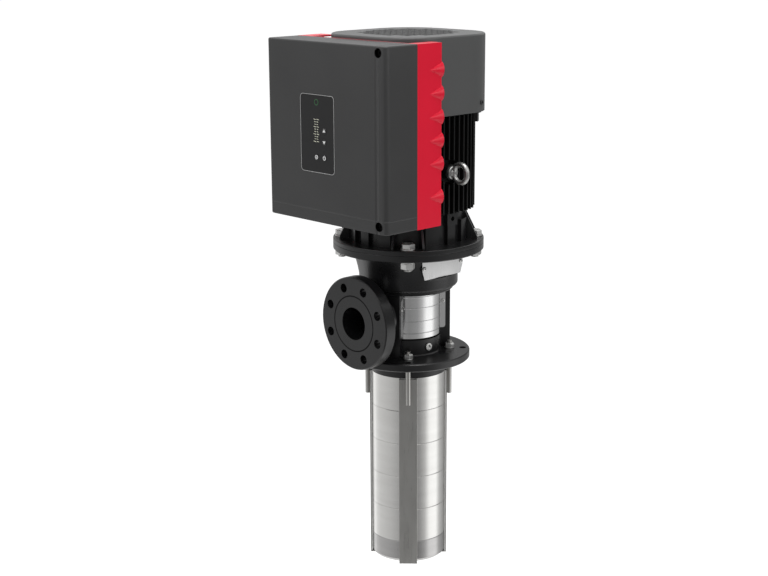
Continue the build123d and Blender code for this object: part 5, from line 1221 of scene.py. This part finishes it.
@dataclass(frozen=True)
class HexBolt:
    """Hexagon head bolt with its washer and nut.

    Shares are of the corner radius, or on the shank of its radius; rises are in chamfers.
    """

    across_flats: float = 0.024
    head_height: float = 0.010
    head_foot_share: float = 0.96
    head_foot_rise: float = 0.5
    head_crown_share: float = 0.87
    dish_share: float = 0.55
    dish_floor_share: float = 0.5
    dish_depth: float = 0.0004
    nut_height: float = 0.013
    shank_radius: float = 0.008
    crest_play: float = 0.0001
    root_share: float = 0.88
    point_share: float = 0.82
    point_length: float = 0.0006
    shank_sides: int = 20
    washer_radius: float = 0.014
    washer_height: float = 0.0025
    washer_edge: float = 0.0003
    washer_sides: int = 32
    chamfer: float = 0.0011
    pitch: float = 0.002
    nut_play: float = 0.00005
    nut_countersink: float = 0.0006
    nut_foot_share: float = 0.88
    nut_foot_rise: float = 1.0
    nut_crown_share: float = 0.88

    @property
    def corner(self) -> float:
        """Radius over the corners of the hexagon."""
        return self.across_flats / math.sqrt(3)

    def head(self, base: Matrix) -> bpy.types.Object:
        """Hexagon head with a turned chamfer and a shallow dish.

        Args:
            base: Where it stands.

        Returns:
            The mesh object.
        """
        corner, top = self.corner, self.head_height
        profile = [
            (corner * self.head_foot_share, 0.0),
            (corner, self.chamfer * self.head_foot_rise),
            (corner, top - self.chamfer),
            (corner * self.head_crown_share, top),
            (corner * self.dish_share, top),
            (corner * self.dish_floor_share, top - self.dish_depth),
        ]
        return Bench.lathe("head", profile, HEXAGON, base)

    def washer(self, base: Matrix) -> bpy.types.Object:
        """Flat washer with softened edges.

        Args:
            base: Where it lies.

        Returns:
            The mesh object.
        """
        edge, height = self.washer_edge, self.washer_height
        bore = self.shank_radius + edge
        profile = [
            (bore, 0.0),
            (self.washer_radius - edge, 0.0),
            (self.washer_radius, edge),
            (self.washer_radius, height - edge),
            (self.washer_radius - edge, height),
            (bore, height),
            (bore, 0.0),
        ]
        return Bench.lathe("washer", profile, self.washer_sides, base)

    def nut(self, base: Matrix) -> bpy.types.Object:
        """Hexagon nut chamfered at both ends, open in the middle.

        Args:
            base: Where it stands.

        Returns:
            The mesh object.
        """
        corner, height = self.corner, self.nut_height
        bore = self.shank_radius + self.nut_play
        profile = [
            (bore, 0.0),
            (corner * self.nut_foot_share, 0.0),
            (corner, self.chamfer * self.nut_foot_rise),
            (corner, height - self.chamfer),
            (corner * self.nut_crown_share, height),
            (bore + self.nut_countersink, height),
            (bore, height - self.nut_countersink),
            (bore, 0.0),
        ]
        return Bench.lathe("nut", profile, HEXAGON, base)

    def shank(self, length: float, thread: float, base: Matrix) -> bpy.types.Object:
        """Shank whose far end carries thread ridges and a chamfer.

        Args:
            length: Whole length.
            thread: Length of the threaded end.
            base: Where it starts; its own Z runs towards the threaded end.

        Returns:
            The mesh object.
        """
        radius = self.shank_radius
        crest, root = radius - self.crest_play, radius * self.root_share
        profile = [(radius, 0.0)]
        for turn in range(int(thread / self.pitch)):
            foot = length - thread + turn * self.pitch
            profile += [(crest, foot), (root, foot + self.pitch / 2)]
        profile += [(crest, length - self.point_length), (radius * self.point_share, length)]
        return Bench.lathe("shank", profile, self.shank_sides, base)


@dataclass
class MotorBolts:
    """Four bolts with washers and nuts through the motor and stool flanges."""

    circle: float = 0.1325
    length: float = 0.045
    thread: float = 0.018
    kind: HexBolt = HexBolt()

    def build(self) -> None:
        """Builds bolts as one piece and nuts as another."""
        bolts, nuts = [], []
        seat = FLANGE_TOP + self.kind.washer_height
        under = FLANGE_UNDER - self.kind.washer_height
        for x, y in corners(self.circle):
            bolts += [
                self.kind.washer(standing(x, y, FLANGE_TOP)),
                self.kind.head(standing(x, y, seat)),
                self.kind.shank(self.length, self.thread, standing(x, y, seat, DOWN)),
            ]
            nuts += [
                self.kind.washer(standing(x, y, under)),
                self.kind.nut(standing(x, y, under, DOWN)),
            ]
        bolts_piece = finish_piece(Bench.join("flange_bolts", bolts), ZINC)
        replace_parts(bolts_piece, "motor_bolts")
        nuts_piece = finish_piece(Bench.join("flange_nuts", nuts), ZINC)
        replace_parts(nuts_piece, "motor_nuts")


@dataclass
class StrapFasteners:
    """Nuts and washers on the strap studs, on top of the mounting plate."""

    circle: float = 0.083
    kind: HexBolt = HexBolt(
        across_flats=0.017, nut_height=0.0084, shank_radius=0.005, washer_radius=0.010,
        washer_height=0.002, chamfer=0.0012, nut_foot_share=0.9, nut_foot_rise=0.6, nut_crown_share=0.84,
    )

    def build(self) -> None:
        """Builds all nuts and washers as one piece."""
        nuts = []
        for x, y in corners(self.circle):
            nuts += [
                self.kind.washer(standing(x, y, PLATE_TOP)),
                self.kind.nut(standing(x, y, PLATE_TOP + self.kind.washer_height)),
            ]
        piece = finish_piece(Bench.join("stud_nuts", nuts), ZINC)
        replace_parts(piece, "strap_nuts")


@dataclass
class EyeBolts:
    """Lifting eye bolts on both sides of the motor."""

    seat: float = 0.128
    offset: float = -0.010
    height: float = 0.391
    ring_radius: float = 0.0175
    ring_sink: float = 0.0005
    wire: float = 0.005
    ring_wire_share: float = 0.98
    collar_radius: float = 0.0125
    collar_height: float = 0.006
    collar_foot_edge: float = 0.00048
    collar_edge: float = 0.0012
    collar_edge_rise: float = 0.00192
    collar_brow: float = 0.0006
    collar_sides: int = 32
    neck_share: float = 1.5
    neck_top_share: float = 1.05
    neck_rise_share: float = 0.5
    ring_sides: int = 48
    wire_sides: int = 16
    shank_length: float = 0.017

    def build(self) -> None:
        """Builds both eye bolts as one piece."""
        parts = []
        for side in (1, -1):
            parts += [self._collar(side), self._ring(side)]
        piece = finish_piece(Bench.join("eye_bolt_rings", parts), EYE_STEEL)
        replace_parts(piece, "eye_bolts")

    def _collar(self, side: int) -> bpy.types.Object:
        """Shank and rounded collar on one side of the motor.

        Args:
            side: One on the right, minus one on the left.

        Returns:
            The mesh object.
        """
        radius, height = self.collar_radius, self.collar_height
        profile = [
            (self.wire, -self.shank_length),
            (self.wire, 0.0),
            (radius - self.collar_foot_edge, 0.0),
            (radius, self.collar_foot_edge),
            (radius, height - self.collar_edge_rise),
            (radius - self.collar_edge, height - self.collar_brow),
            (self.wire * self.neck_share, height),
            (self.wire * self.neck_top_share, height + self.wire * self.neck_rise_share),
        ]
        base = standing(side * self.seat, self.offset, self.height, (side, 0, 0))
        return Bench.lathe("collar", profile, self.collar_sides, base)

    def _ring(self, side: int) -> bpy.types.Object:
        """Upright ring that grows out of the collar.

        Args:
            side: One on the right, minus one on the left.

        Returns:
            The mesh object.
        """
        middle = self.seat + self.collar_height + self.ring_radius - self.ring_sink
        Bench.clear()
        bpy.ops.mesh.primitive_torus_add(
            major_radius=self.ring_radius,
            minor_radius=self.wire * self.ring_wire_share,
            major_segments=self.ring_sides,
            minor_segments=self.wire_sides,
            location=(side * middle, self.offset, self.height),
            rotation=(math.pi / 2, 0, 0),
        )
        return Bench.settled("ring")


@dataclass
class CouplingGuards:
    """Curved sheet guards with pressed ribs and screw flanges."""

    radius: float = 0.064
    sheet_rounding: float = 0.00025
    half_angle: float = 54.0
    ribs: tuple = (0.062, 0.086, 0.113, 0.135)
    rib_half: float = 0.0011
    rib_height: float = 0.0006
    rib_sink: float = 0.0002
    rib_root: float = 0.0006
    rib_steps: int = 5
    sides: int = 224

    def build(self, frame: dict) -> None:
        """Builds a ribbed sheet in place of each guard.
        """
        for side, middle in (("right", 0.0), ("left", 180.0)):
            node = f"coupling_guard_{side}"
            sheet = Bench.from_node(frame, node, f"{node}_sheet")
            Bench.round_edges(sheet, self.sheet_rounding, 1)
            parts = [sheet] + [self._rib(height, middle) for height in self.ribs]
            piece = finish_piece(Bench.join(f"{node}_sheet", parts), COUPLING_STEEL)
            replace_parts(piece, node)

    def _rib(self, height: float, middle: float) -> bpy.types.Object:
        """Low rounded rib pressed out of the sheet.

        Args:
            height: Height of its middle.
            middle: Direction of the guard's middle in degrees.

        Returns:
            The mesh object.
        """
        profile = []
        for step in range(self.rib_steps + 1):
            turn = math.pi * step / self.rib_steps
            out = self.radius - self.rib_sink + self.rib_height * math.sin(turn)
            profile.append((out, height - self.rib_half * math.cos(turn)))
        root = self.radius - self.rib_root
        profile += [(root, height + self.rib_half), (root, height - self.rib_half), profile[0]]
        rib = Bench.lathe("rib", profile, self.sides)
        with Bench.editing(rib, "DESELECT"):
            bpy.ops.mesh.select_mode(type="FACE")
        for face in rib.data.polygons:
            angle = math.degrees(math.atan2(face.center.y, face.center.x)) - middle
            face.select = abs((angle + 180) % 360 - 180) > self.half_angle
        with Bench.editing(rib, None):
            bpy.ops.mesh.delete(type="FACE")
            bpy.ops.mesh.select_mode(type="VERT")
            Bench.close_ends()
        return rib


@dataclass(frozen=True)
class RoundScrew:
    """Screw with a turned head on a plain shank.

    The crown is the head's outline above its foot, in shares of the head's radius and height.
    """

    radius: float
    height: float
    shank: float
    length: float
    crown: tuple
    sides: int = 24

    def build(self, base: Matrix) -> bpy.types.Object:
        """Turns the screw.

        Args:
            base: Where the head stands; its own Z points out of the hole.

        Returns:
            The mesh object.
        """
        profile = [(self.shank, -self.length), (self.shank, 0.0), (self.radius, 0.0)]
        profile += [(self.radius * out, self.height * up) for out, up in self.crown]
        return Bench.lathe("screw", profile, self.sides, base)


PAN_CROWN = ((1.0, 0.45), (0.86, 0.85), (0.55, 1.0), (0.45, 1.0), (0.4, 0.45))
SOCKET_CROWN = ((1.0, 0.6), (0.85, 1.0), (0.5, 1.0), (0.48, 0.3))


@dataclass
class GuardScrews:
    """Small pan head screws of the sheet guards."""

    stool_flat: float = 0.095
    sheet: float = 0.001
    across: float = 0.051
    stool_height: float = 0.2035
    window_angle: float = 56.0
    circle: float = 0.071
    guard_height: float = 0.111
    kind: RoundScrew = RoundScrew(0.004, 0.0025, shank=0.002, length=0.008, crown=PAN_CROWN, sides=20)

    def build(self) -> None:
        """Builds all eight screws as one piece."""
        parts = []
        for side in (1, -1):
            for across in (self.across, -self.across):
                seat = side * (self.stool_flat + self.sheet)
                parts.append(self.kind.build(standing(seat, across, self.stool_height, (side, 0, 0))))
        for middle in (0.0, 180.0):
            for sign in (1, -1):
                angle = math.radians(middle + sign * self.window_angle)
                normal = (sign * math.sin(angle), -sign * math.cos(angle), 0)
                x = self.circle * math.cos(angle) + normal[0] * self.sheet
                y = self.circle * math.sin(angle) + normal[1] * self.sheet
                parts.append(self.kind.build(standing(x, y, self.guard_height, normal)))
        piece = finish_piece(Bench.join("sheet_screws", parts), ZINC)
        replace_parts(piece, "guard_screws")


@dataclass
class HeadPlugs:
    """Round plugs with hexagon sockets in the pump head."""

    angles: tuple = (-7.0, 173.0)
    height: float = 0.0323
    seat: float = 0.065
    head_radius: float = 0.0075
    head_height: float = 0.003
    head_edge: float = 0.0005
    head_sides: int = 24
    socket: float = 0.0034
    socket_edge: float = 0.0004
    socket_edge_depth: float = 0.0003
    socket_floor: float = 0.0004
    thread_radius: float = 0.005
    thread_length: float = 0.007

    def build(self) -> None:
        """Builds both plugs as one piece."""
        radius, top, edge = self.head_radius, self.head_height, self.head_edge
        profile = [
            (self.thread_radius, -self.thread_length),
            (self.thread_radius, 0.0),
            (radius - edge, 0.0),
            (radius, edge),
            (radius, top - edge),
            (radius - edge, top),
            (self.socket + self.socket_edge, top),
            (self.socket, top - self.socket_edge_depth),
            (self.socket, self.socket_floor),
        ]
        parts = []
        for degrees in self.angles:
            angle = math.radians(degrees)
            normal = (math.cos(angle), math.sin(angle), 0)
            base = standing(self.seat * normal[0], self.seat * normal[1], self.height, normal)
            parts.append(Bench.lathe("plug", profile, self.head_sides, base))
        piece = finish_piece(Bench.join("hub_plugs", parts), ZINC)
        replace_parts(piece, "head_plugs")


@dataclass
class CoverScrews:
    """Socket screws sunk in the drive box cover and in the fan cover."""

    across: float = 0.142
    heights: tuple = (0.316, 0.629)
    seat: float = -0.207
    box_kind: RoundScrew = RoundScrew(0.006, 0.003, shank=0.003, length=0.071, crown=SOCKET_CROWN)
    # Near-black cups in the screw recesses are painted shade, not a part of the cover.
    shade_cup_radius: float = 0.00875
    shade_cup_wall: float = 0.0004
    shade_cup_height: float = 0.0079
    shade_cup_sides: int = 32
    fan_corner: float = 0.045
    fan_corner_radius: float = 0.085
    fan_height: float = 0.517
    fan_run: float = 94.0
    fan_rise: float = 34.2
    fan_kind: RoundScrew = RoundScrew(0.005, 0.0025, shank=0.0025, length=0.0136, crown=SOCKET_CROWN)

    def build(self) -> None:
        """Builds the box screws, near-black cups of painted shade in their recesses and the fan cover's
        screws.
        """
        places = [standing(self.across, self.seat, height, FORWARD) for height in self.heights]
        screws = Bench.join("box_screws", [self.box_kind.build(place) for place in places])
        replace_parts(finish_piece(screws, DEEP_BLACK), "cover_screws")
        # Painted shade: near-black cups with hardly any gloss darken the screw recesses.
        shade_cups = Bench.join("recess_liners", [self._shade_cup(place) for place in places])
        finish_piece(shade_cups, DEEP_BLACK)
        fan = [self._fan_screw(side_x, side_y) for side_x in (1, -1) for side_y in (1, -1)]
        piece = finish_piece(Bench.join("fan_screws", fan), BLACK_PLASTIC)
        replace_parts(piece, "fan_cover_screws")

    def _fan_screw(self, side_x: int, side_y: int) -> bpy.types.Object:
        """Screw in one rounded corner of the fan cover.

        Args:
            side_x: One or minus one, for the corner's side along X.
            side_y: One or minus one, for its side along Y.

        Returns:
            The mesh object.
        """
        normal = Vector((side_x * self.fan_run, side_y * self.fan_rise, 0)).normalized()
        x = side_x * self.fan_corner + normal.x * self.fan_corner_radius
        y = side_y * self.fan_corner + normal.y * self.fan_corner_radius
        return self.fan_kind.build(standing(x, y, self.fan_height, normal))

    def _shade_cup(self, base: Matrix) -> bpy.types.Object:
        """Near-black cup that paints the shade inside a screw's recess in the cover.

        Args:
            base: Where the screw's head stands.

        Returns:
            The mesh object.
        """
        outer, wall = self.shade_cup_radius, self.shade_cup_wall
        floor_edge = self.box_kind.radius + wall / 2
        profile = [
            (floor_edge, 0.0),
            (outer, 0.0),
            (outer, self.shade_cup_height),
            (outer - wall, self.shade_cup_height),
            (outer - wall, wall),
            (floor_edge, wall),
            (floor_edge, 0.0),
        ]
        return Bench.lathe("liner", profile, self.shade_cup_sides, base)


@dataclass
class FanGrille:
    """Fine bars that divide the large openings in the top of the fan cover."""

    half_width: float = 0.096
    height: float = 0.6468
    thickness: float = 0.0009
    pitch: float = 0.0053333
    row_offset: float = 0.0026667
    rows: int = 18
    full_share: float = 0.55
    short_share: float = 0.8

    def build(self) -> None:
        """Builds the bars both ways as one piece, shorter where the openings end sooner."""
        bars = []
        for row in range(-self.rows, self.rows):
            place = row * self.pitch + self.row_offset
            near = abs(place) < self.half_width * self.full_share
            length = 2 * (self.half_width if near else self.half_width * self.short_share)
            bars += [
                Bench.bar((place, 0, self.height), (self.thickness, length, self.thickness)),
                Bench.bar((0, place, self.height), (length, self.thickness, self.thickness)),
            ]
        finish_piece(Bench.join("fan_grille", bars), FAN_COAT)


@dataclass
class StrapHighlightEdges:
    """Turned-in edges of the straps that lie against the chambers, in a light non-metallic grey that paints
    the bright line their steel reflects.
    """

    inner: float = 0.0747
    outer: float = 0.0765
    offset: float = 0.0174
    thickness: float = 0.0012
    bottom: float = -0.4215
    top: float = -0.0275

    def build(self) -> None:
        """Builds the two edges of all four straps as one piece."""
        size = (self.outer - self.inner, self.thickness, self.top - self.bottom)
        bars = []
        for angle in CORNER_ANGLES:
            for side in (1, -1):
                spot = ((self.inner + self.outer) / 2, side * self.offset, (self.bottom + self.top) / 2)
                bar = Bench.bar(spot, size)
                bar.data.transform(Matrix.Rotation(angle, 4, "Z"))
                bars.append(bar)
        # The edges' light grey is painted highlight.
        finish_piece(Bench.join("strap_edges", bars), STRAP_HIGHLIGHT_EDGE)


@dataclass
class GrooveShade:
    """Dark ring over the sealing groove of the discharge flange, a hair proud of its face."""

    face: float = -0.15
    height: float = 0.094
    radius: float = 0.055
    half_width: float = 0.00125
    proud: float = 0.00005
    thickness: float = 0.0005
    sides: int = 96

    def build(self) -> None:
        """Builds the ring."""
        profile = band(self.radius - self.half_width, self.radius + self.half_width, self.thickness)
        base = standing(0, self.face + self.thickness - self.proud, self.height, FORWARD)
        ring = Bench.lathe("groove_shade", profile, self.sides, base)
        finish_piece(ring, DEEP_BLACK)


@dataclass(frozen=True)
class Key:
    """One foil key, named as its body, by the place of its middle."""

    name: str
    x: float
    z: float


@dataclass
class OperatingPanel:
    """Printed foil with a pale outline, a lit ring, level bars and four keys."""

    middle_x: float = -0.024
    middle_z: float = 0.470
    width: float = 0.096
    height: float = 0.148
    corner: float = 0.008
    corner_steps: int = 6
    line_inset: float = 0.0006
    line: float = 0.0009
    proud: float = 0.00025
    ring_x: float = -0.0255
    ring_z: float = 0.529
    ring_inner: float = 0.0043
    ring_crown: float = 0.0052
    ring_outer: float = 0.0060
    ring_edge_height: float = 0.0003
    ring_crown_height: float = 0.0004
    ring_sides: int = 40
    bar_rows: int = 10
    bar_x: float = -0.0265
    bar_foot: float = 0.4555
    bar_pitch: float = 0.0046
    bar_gap: float = 0.0012
    bar_reach: float = 0.005
    long_bar_reach: float = 0.0075
    long_bar_every: int = 3
    bar_half: float = 0.0006
    bar_slant: float = 0.0004
    key_front: float = -0.2156
    mark_proud: float = 0.00003
    mark_size: float = 0.0041
    mark_ring_share: float = 0.62
    mark_ring_sides: int = 28
    stroke_half: float = 0.0005
    stroke_share: float = 1.15
    dot_half: float = 0.0009
    arrow_foot_share: float = 0.6
    arrow_tip_share: float = 0.9
    keys: tuple[Key, ...] = (
        Key("key_up", -0.0045, 0.477),
        Key("key_down", -0.0045, 0.4554),
        Key("key_connect", -0.0268, 0.426),
        Key("key_run_stop", -0.0045, 0.426),
    )

    def build(self, frame: dict) -> None:
        """Dresses the foil and the keys and adds the printed marks.
        """
        Paintbox.dress(frame["nodes"]["panel_foil"], FOIL)
        for key in self.keys:
            Paintbox.dress(frame["nodes"][key.name], KEY_CAP)
        self._outline()
        self._ring_light()
        self._level_bars()
        for key in self.keys:
            finish_piece(self._symbol(key), KEY_PRINT, key.name)

    @staticmethod
    def _plate(name: str, loop: list, depth: float, front: float) -> bpy.types.Object:
        """Thin printed plate with an outline of (x, z) points.

        Args:
            name: Name of the plate.
            loop: Corner points in order.
            depth: Thickness of the print.
            front: Where its face stands along Y.

        Returns:
            The mesh object.
        """
        mesh = bpy.data.meshes.new(name)
        shape = bmesh.new()
        shape.faces.new([shape.verts.new((x, front + depth, z)) for x, z in loop])
        shape.to_mesh(mesh)
        shape.free()
        plate = Bench.hold(name, mesh)
        with Bench.editing(plate):
            bpy.ops.mesh.extrude_region_move(TRANSFORM_OT_translate={"value": (0, -depth, 0)})
            bpy.ops.mesh.select_all(action="SELECT")
            bpy.ops.mesh.normals_make_consistent(inside=False)
        return plate

    @staticmethod
    def _oblong(x: float, half: float, low: float, high: float) -> list:
        """Corners of an upright oblong by its middle, half width and ends."""
        return [(x - half, low), (x + half, low), (x + half, high), (x - half, high)]

    def _rounded(self, inset: float) -> list:
        """Outline of the panel, drawn in by an inset.

        Args:
            inset: How far it is drawn in.

        Returns:
            Points (x, z) in order.
        """
        radius = self.corner - inset
        run, rise = self.width / 2 - inset - radius, self.height / 2 - inset - radius
        loop = []
        for turn, (side_x, side_z) in enumerate(((1, 1), (-1, 1), (-1, -1), (1, -1))):
            for step in range(self.corner_steps + 1):
                angle = math.radians(90 * (turn + step / self.corner_steps))
                loop.append((
                    self.middle_x + side_x * run + radius * math.cos(angle),
                    self.middle_z + side_z * rise + radius * math.sin(angle),
                ))
        return loop

    def _outline(self) -> None:
        """Pale line round the panel, as a bridged band."""
        shape = bmesh.new()
        rings = []
        for inset in (self.line_inset, self.line_inset + self.line):
            for depth in (0.0, -self.proud):
                loop = self._rounded(inset)
                rings.append([shape.verts.new((x, COVER_FRONT + depth, z)) for x, z in loop])
        order = (rings[0], rings[1], rings[3], rings[2])
        count = len(rings[0])
        for first, second in zip(order, order[1:] + order[:1]):
            for index in range(count):
                after = (index + 1) % count
                shape.faces.new((first[index], first[after], second[after], second[index]))
        bmesh.ops.recalc_face_normals(shape, faces=shape.faces)
        mesh = bpy.data.meshes.new("panel_outline")
        shape.to_mesh(mesh)
        shape.free()
        finish_piece(Bench.hold("panel_outline", mesh), FOIL_EDGE)

    def _ring_light(self) -> None:
        """Lit ring in place of the plain light solids."""
        profile = [
            (self.ring_inner, 0.0),
            (self.ring_outer, 0.0),
            (self.ring_outer, self.ring_edge_height),
            (self.ring_crown, self.ring_crown_height),
            (self.ring_inner, self.ring_edge_height),
            (self.ring_inner, 0.0),
        ]
        base = standing(self.ring_x, COVER_FRONT, self.ring_z, FORWARD)
        ring = Bench.lathe("ring_light", profile, self.ring_sides, base)
        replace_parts(finish_piece(ring, GREEN_LIGHT), "panel_lights")

    def _level_bars(self) -> None:
        """Two columns of slanting level bars."""
        bars = []
        for row in range(self.bar_rows):
            z = self.bar_foot + row * self.bar_pitch
            reach = self.bar_reach if row % self.long_bar_every else self.long_bar_reach
            for side in (-1, 1):
                left, right = sorted((self.bar_x + side * self.bar_gap, self.bar_x + side * reach))
                loop = [
                    (left, z + self.bar_slant - self.bar_half),
                    (right, z - self.bar_slant - self.bar_half),
                    (right, z - self.bar_slant + self.bar_half),
                    (left, z + self.bar_slant + self.bar_half),
                ]
                bars.append(self._plate("bar", loop, self.proud, COVER_FRONT - self.proud))
        finish_piece(Bench.join("level_bars", bars), BAR_LIGHT)

    def _symbol(self, key: Key) -> bpy.types.Object:
        """Generic symbol printed on a key: arrow up or down, or a ring with a stroke or a dot.

        Args:
            key: The key.

        Returns:
            The mesh object.
        """
        size, proud, x, z = self.mark_size, self.mark_proud, key.x, key.z
        front = self.key_front - proud
        if key.name in ("key_up", "key_down"):
            sign = 1 if key.name == "key_up" else -1
            foot = z - sign * size * self.arrow_foot_share
            tip = z + sign * size * self.arrow_tip_share
            loop = [(x - size, foot), (x + size, foot), (x, tip)]
            return self._plate(f"{key.name}_mark", loop[::sign], proud, front)
        profile = band(size * self.mark_ring_share, size, proud)
        base = standing(x, self.key_front, z, FORWARD)
        ring = Bench.lathe("ring", profile, self.mark_ring_sides, base)
        if key.name == "key_run_stop":
            loop = self._oblong(x, self.stroke_half, z, z + size * self.stroke_share)
        else:
            loop = self._oblong(x, self.dot_half, z - self.dot_half, z + self.dot_half)
        return Bench.join(f"{key.name}_mark", [ring, self._plate("stroke", loop, proud, front)])


REFINED = (
    Refined("pump_head", CAST, "black_casting", 0.0008, rims=(
        Rim(PLATE_RADIUS, PLATE_TOP, 0.0015), Rim(PLATE_RADIUS, 0.0, 0.0022),
    )),
    Refined("motor_stool", CAST, "black_casting", 0.0008, rims=(
        Rim(FLANGE_RADIUS, FLANGE_SEAM, 0.0012), Rim(FLANGE_RADIUS, FLANGE_UNDER, 0.004),
    )),
    Refined("drive_end_shield", CAST, "black_casting", 0.0007, rims=(
        Rim(FLANGE_RADIUS, FLANGE_SEAM, 0.0012), Rim(FLANGE_RADIUS, FLANGE_TOP, 0.002),
    )),
    Refined("stator_housing", FIN_CASTING, "black_casting", 0.0005, 1),
    Refined("fan_cover", FAN_COAT, "grey_cover", 0.0, flatten=False),
    Refined("box_cover", COVER_COAT, "dark_cover", channel=Channel(
        VALLEY_PLACE, half_width=0.0056, front=COVER_FRONT, depth=0.0012,
    )),
    Refined("box_shell", RED, "red_shell", smooth_degrees=50.0),
    *(Refined(f"stool_guard_{side}", GUARD_STEEL, "stainless_guard", 0.00025, 1)
      for side in ("right", "left")),
    Refined("inlet_part", INLET_STEEL, "stainless_sheet", 0.0),
    *(Refined(f"chamber_{level}", CHAMBER_STEEL, "stainless_sheet", 0.0) for level in range(1, 6)),
    *(Refined(f"strap_{corner}", STRAP_STEEL, "stainless_sheet", 0.0003, 1) for corner in range(1, 5)),
)


def main() -> None:
    """Builds the looks of the pump in order."""
    logging.basicConfig(level=logging.INFO, format="%(message)s")
    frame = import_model()
    PhotoCamera().build()
    Studio().build()
    Curtain().build()
    for group in Dress:
        group.apply(frame)
    for refined in REFINED:
        refined.build(frame)
    MotorBolts().build()
    StrapFasteners().build()
    EyeBolts().build()
    CouplingGuards().build(frame)
    GuardScrews().build()
    HeadPlugs().build()
    CoverScrews().build()
    FanGrille().build()
    StrapHighlightEdges().build()
    GrooveShade().build()
    OperatingPanel().build(frame)
    Bench.clear()


if __name__ == "__main__":
    main()
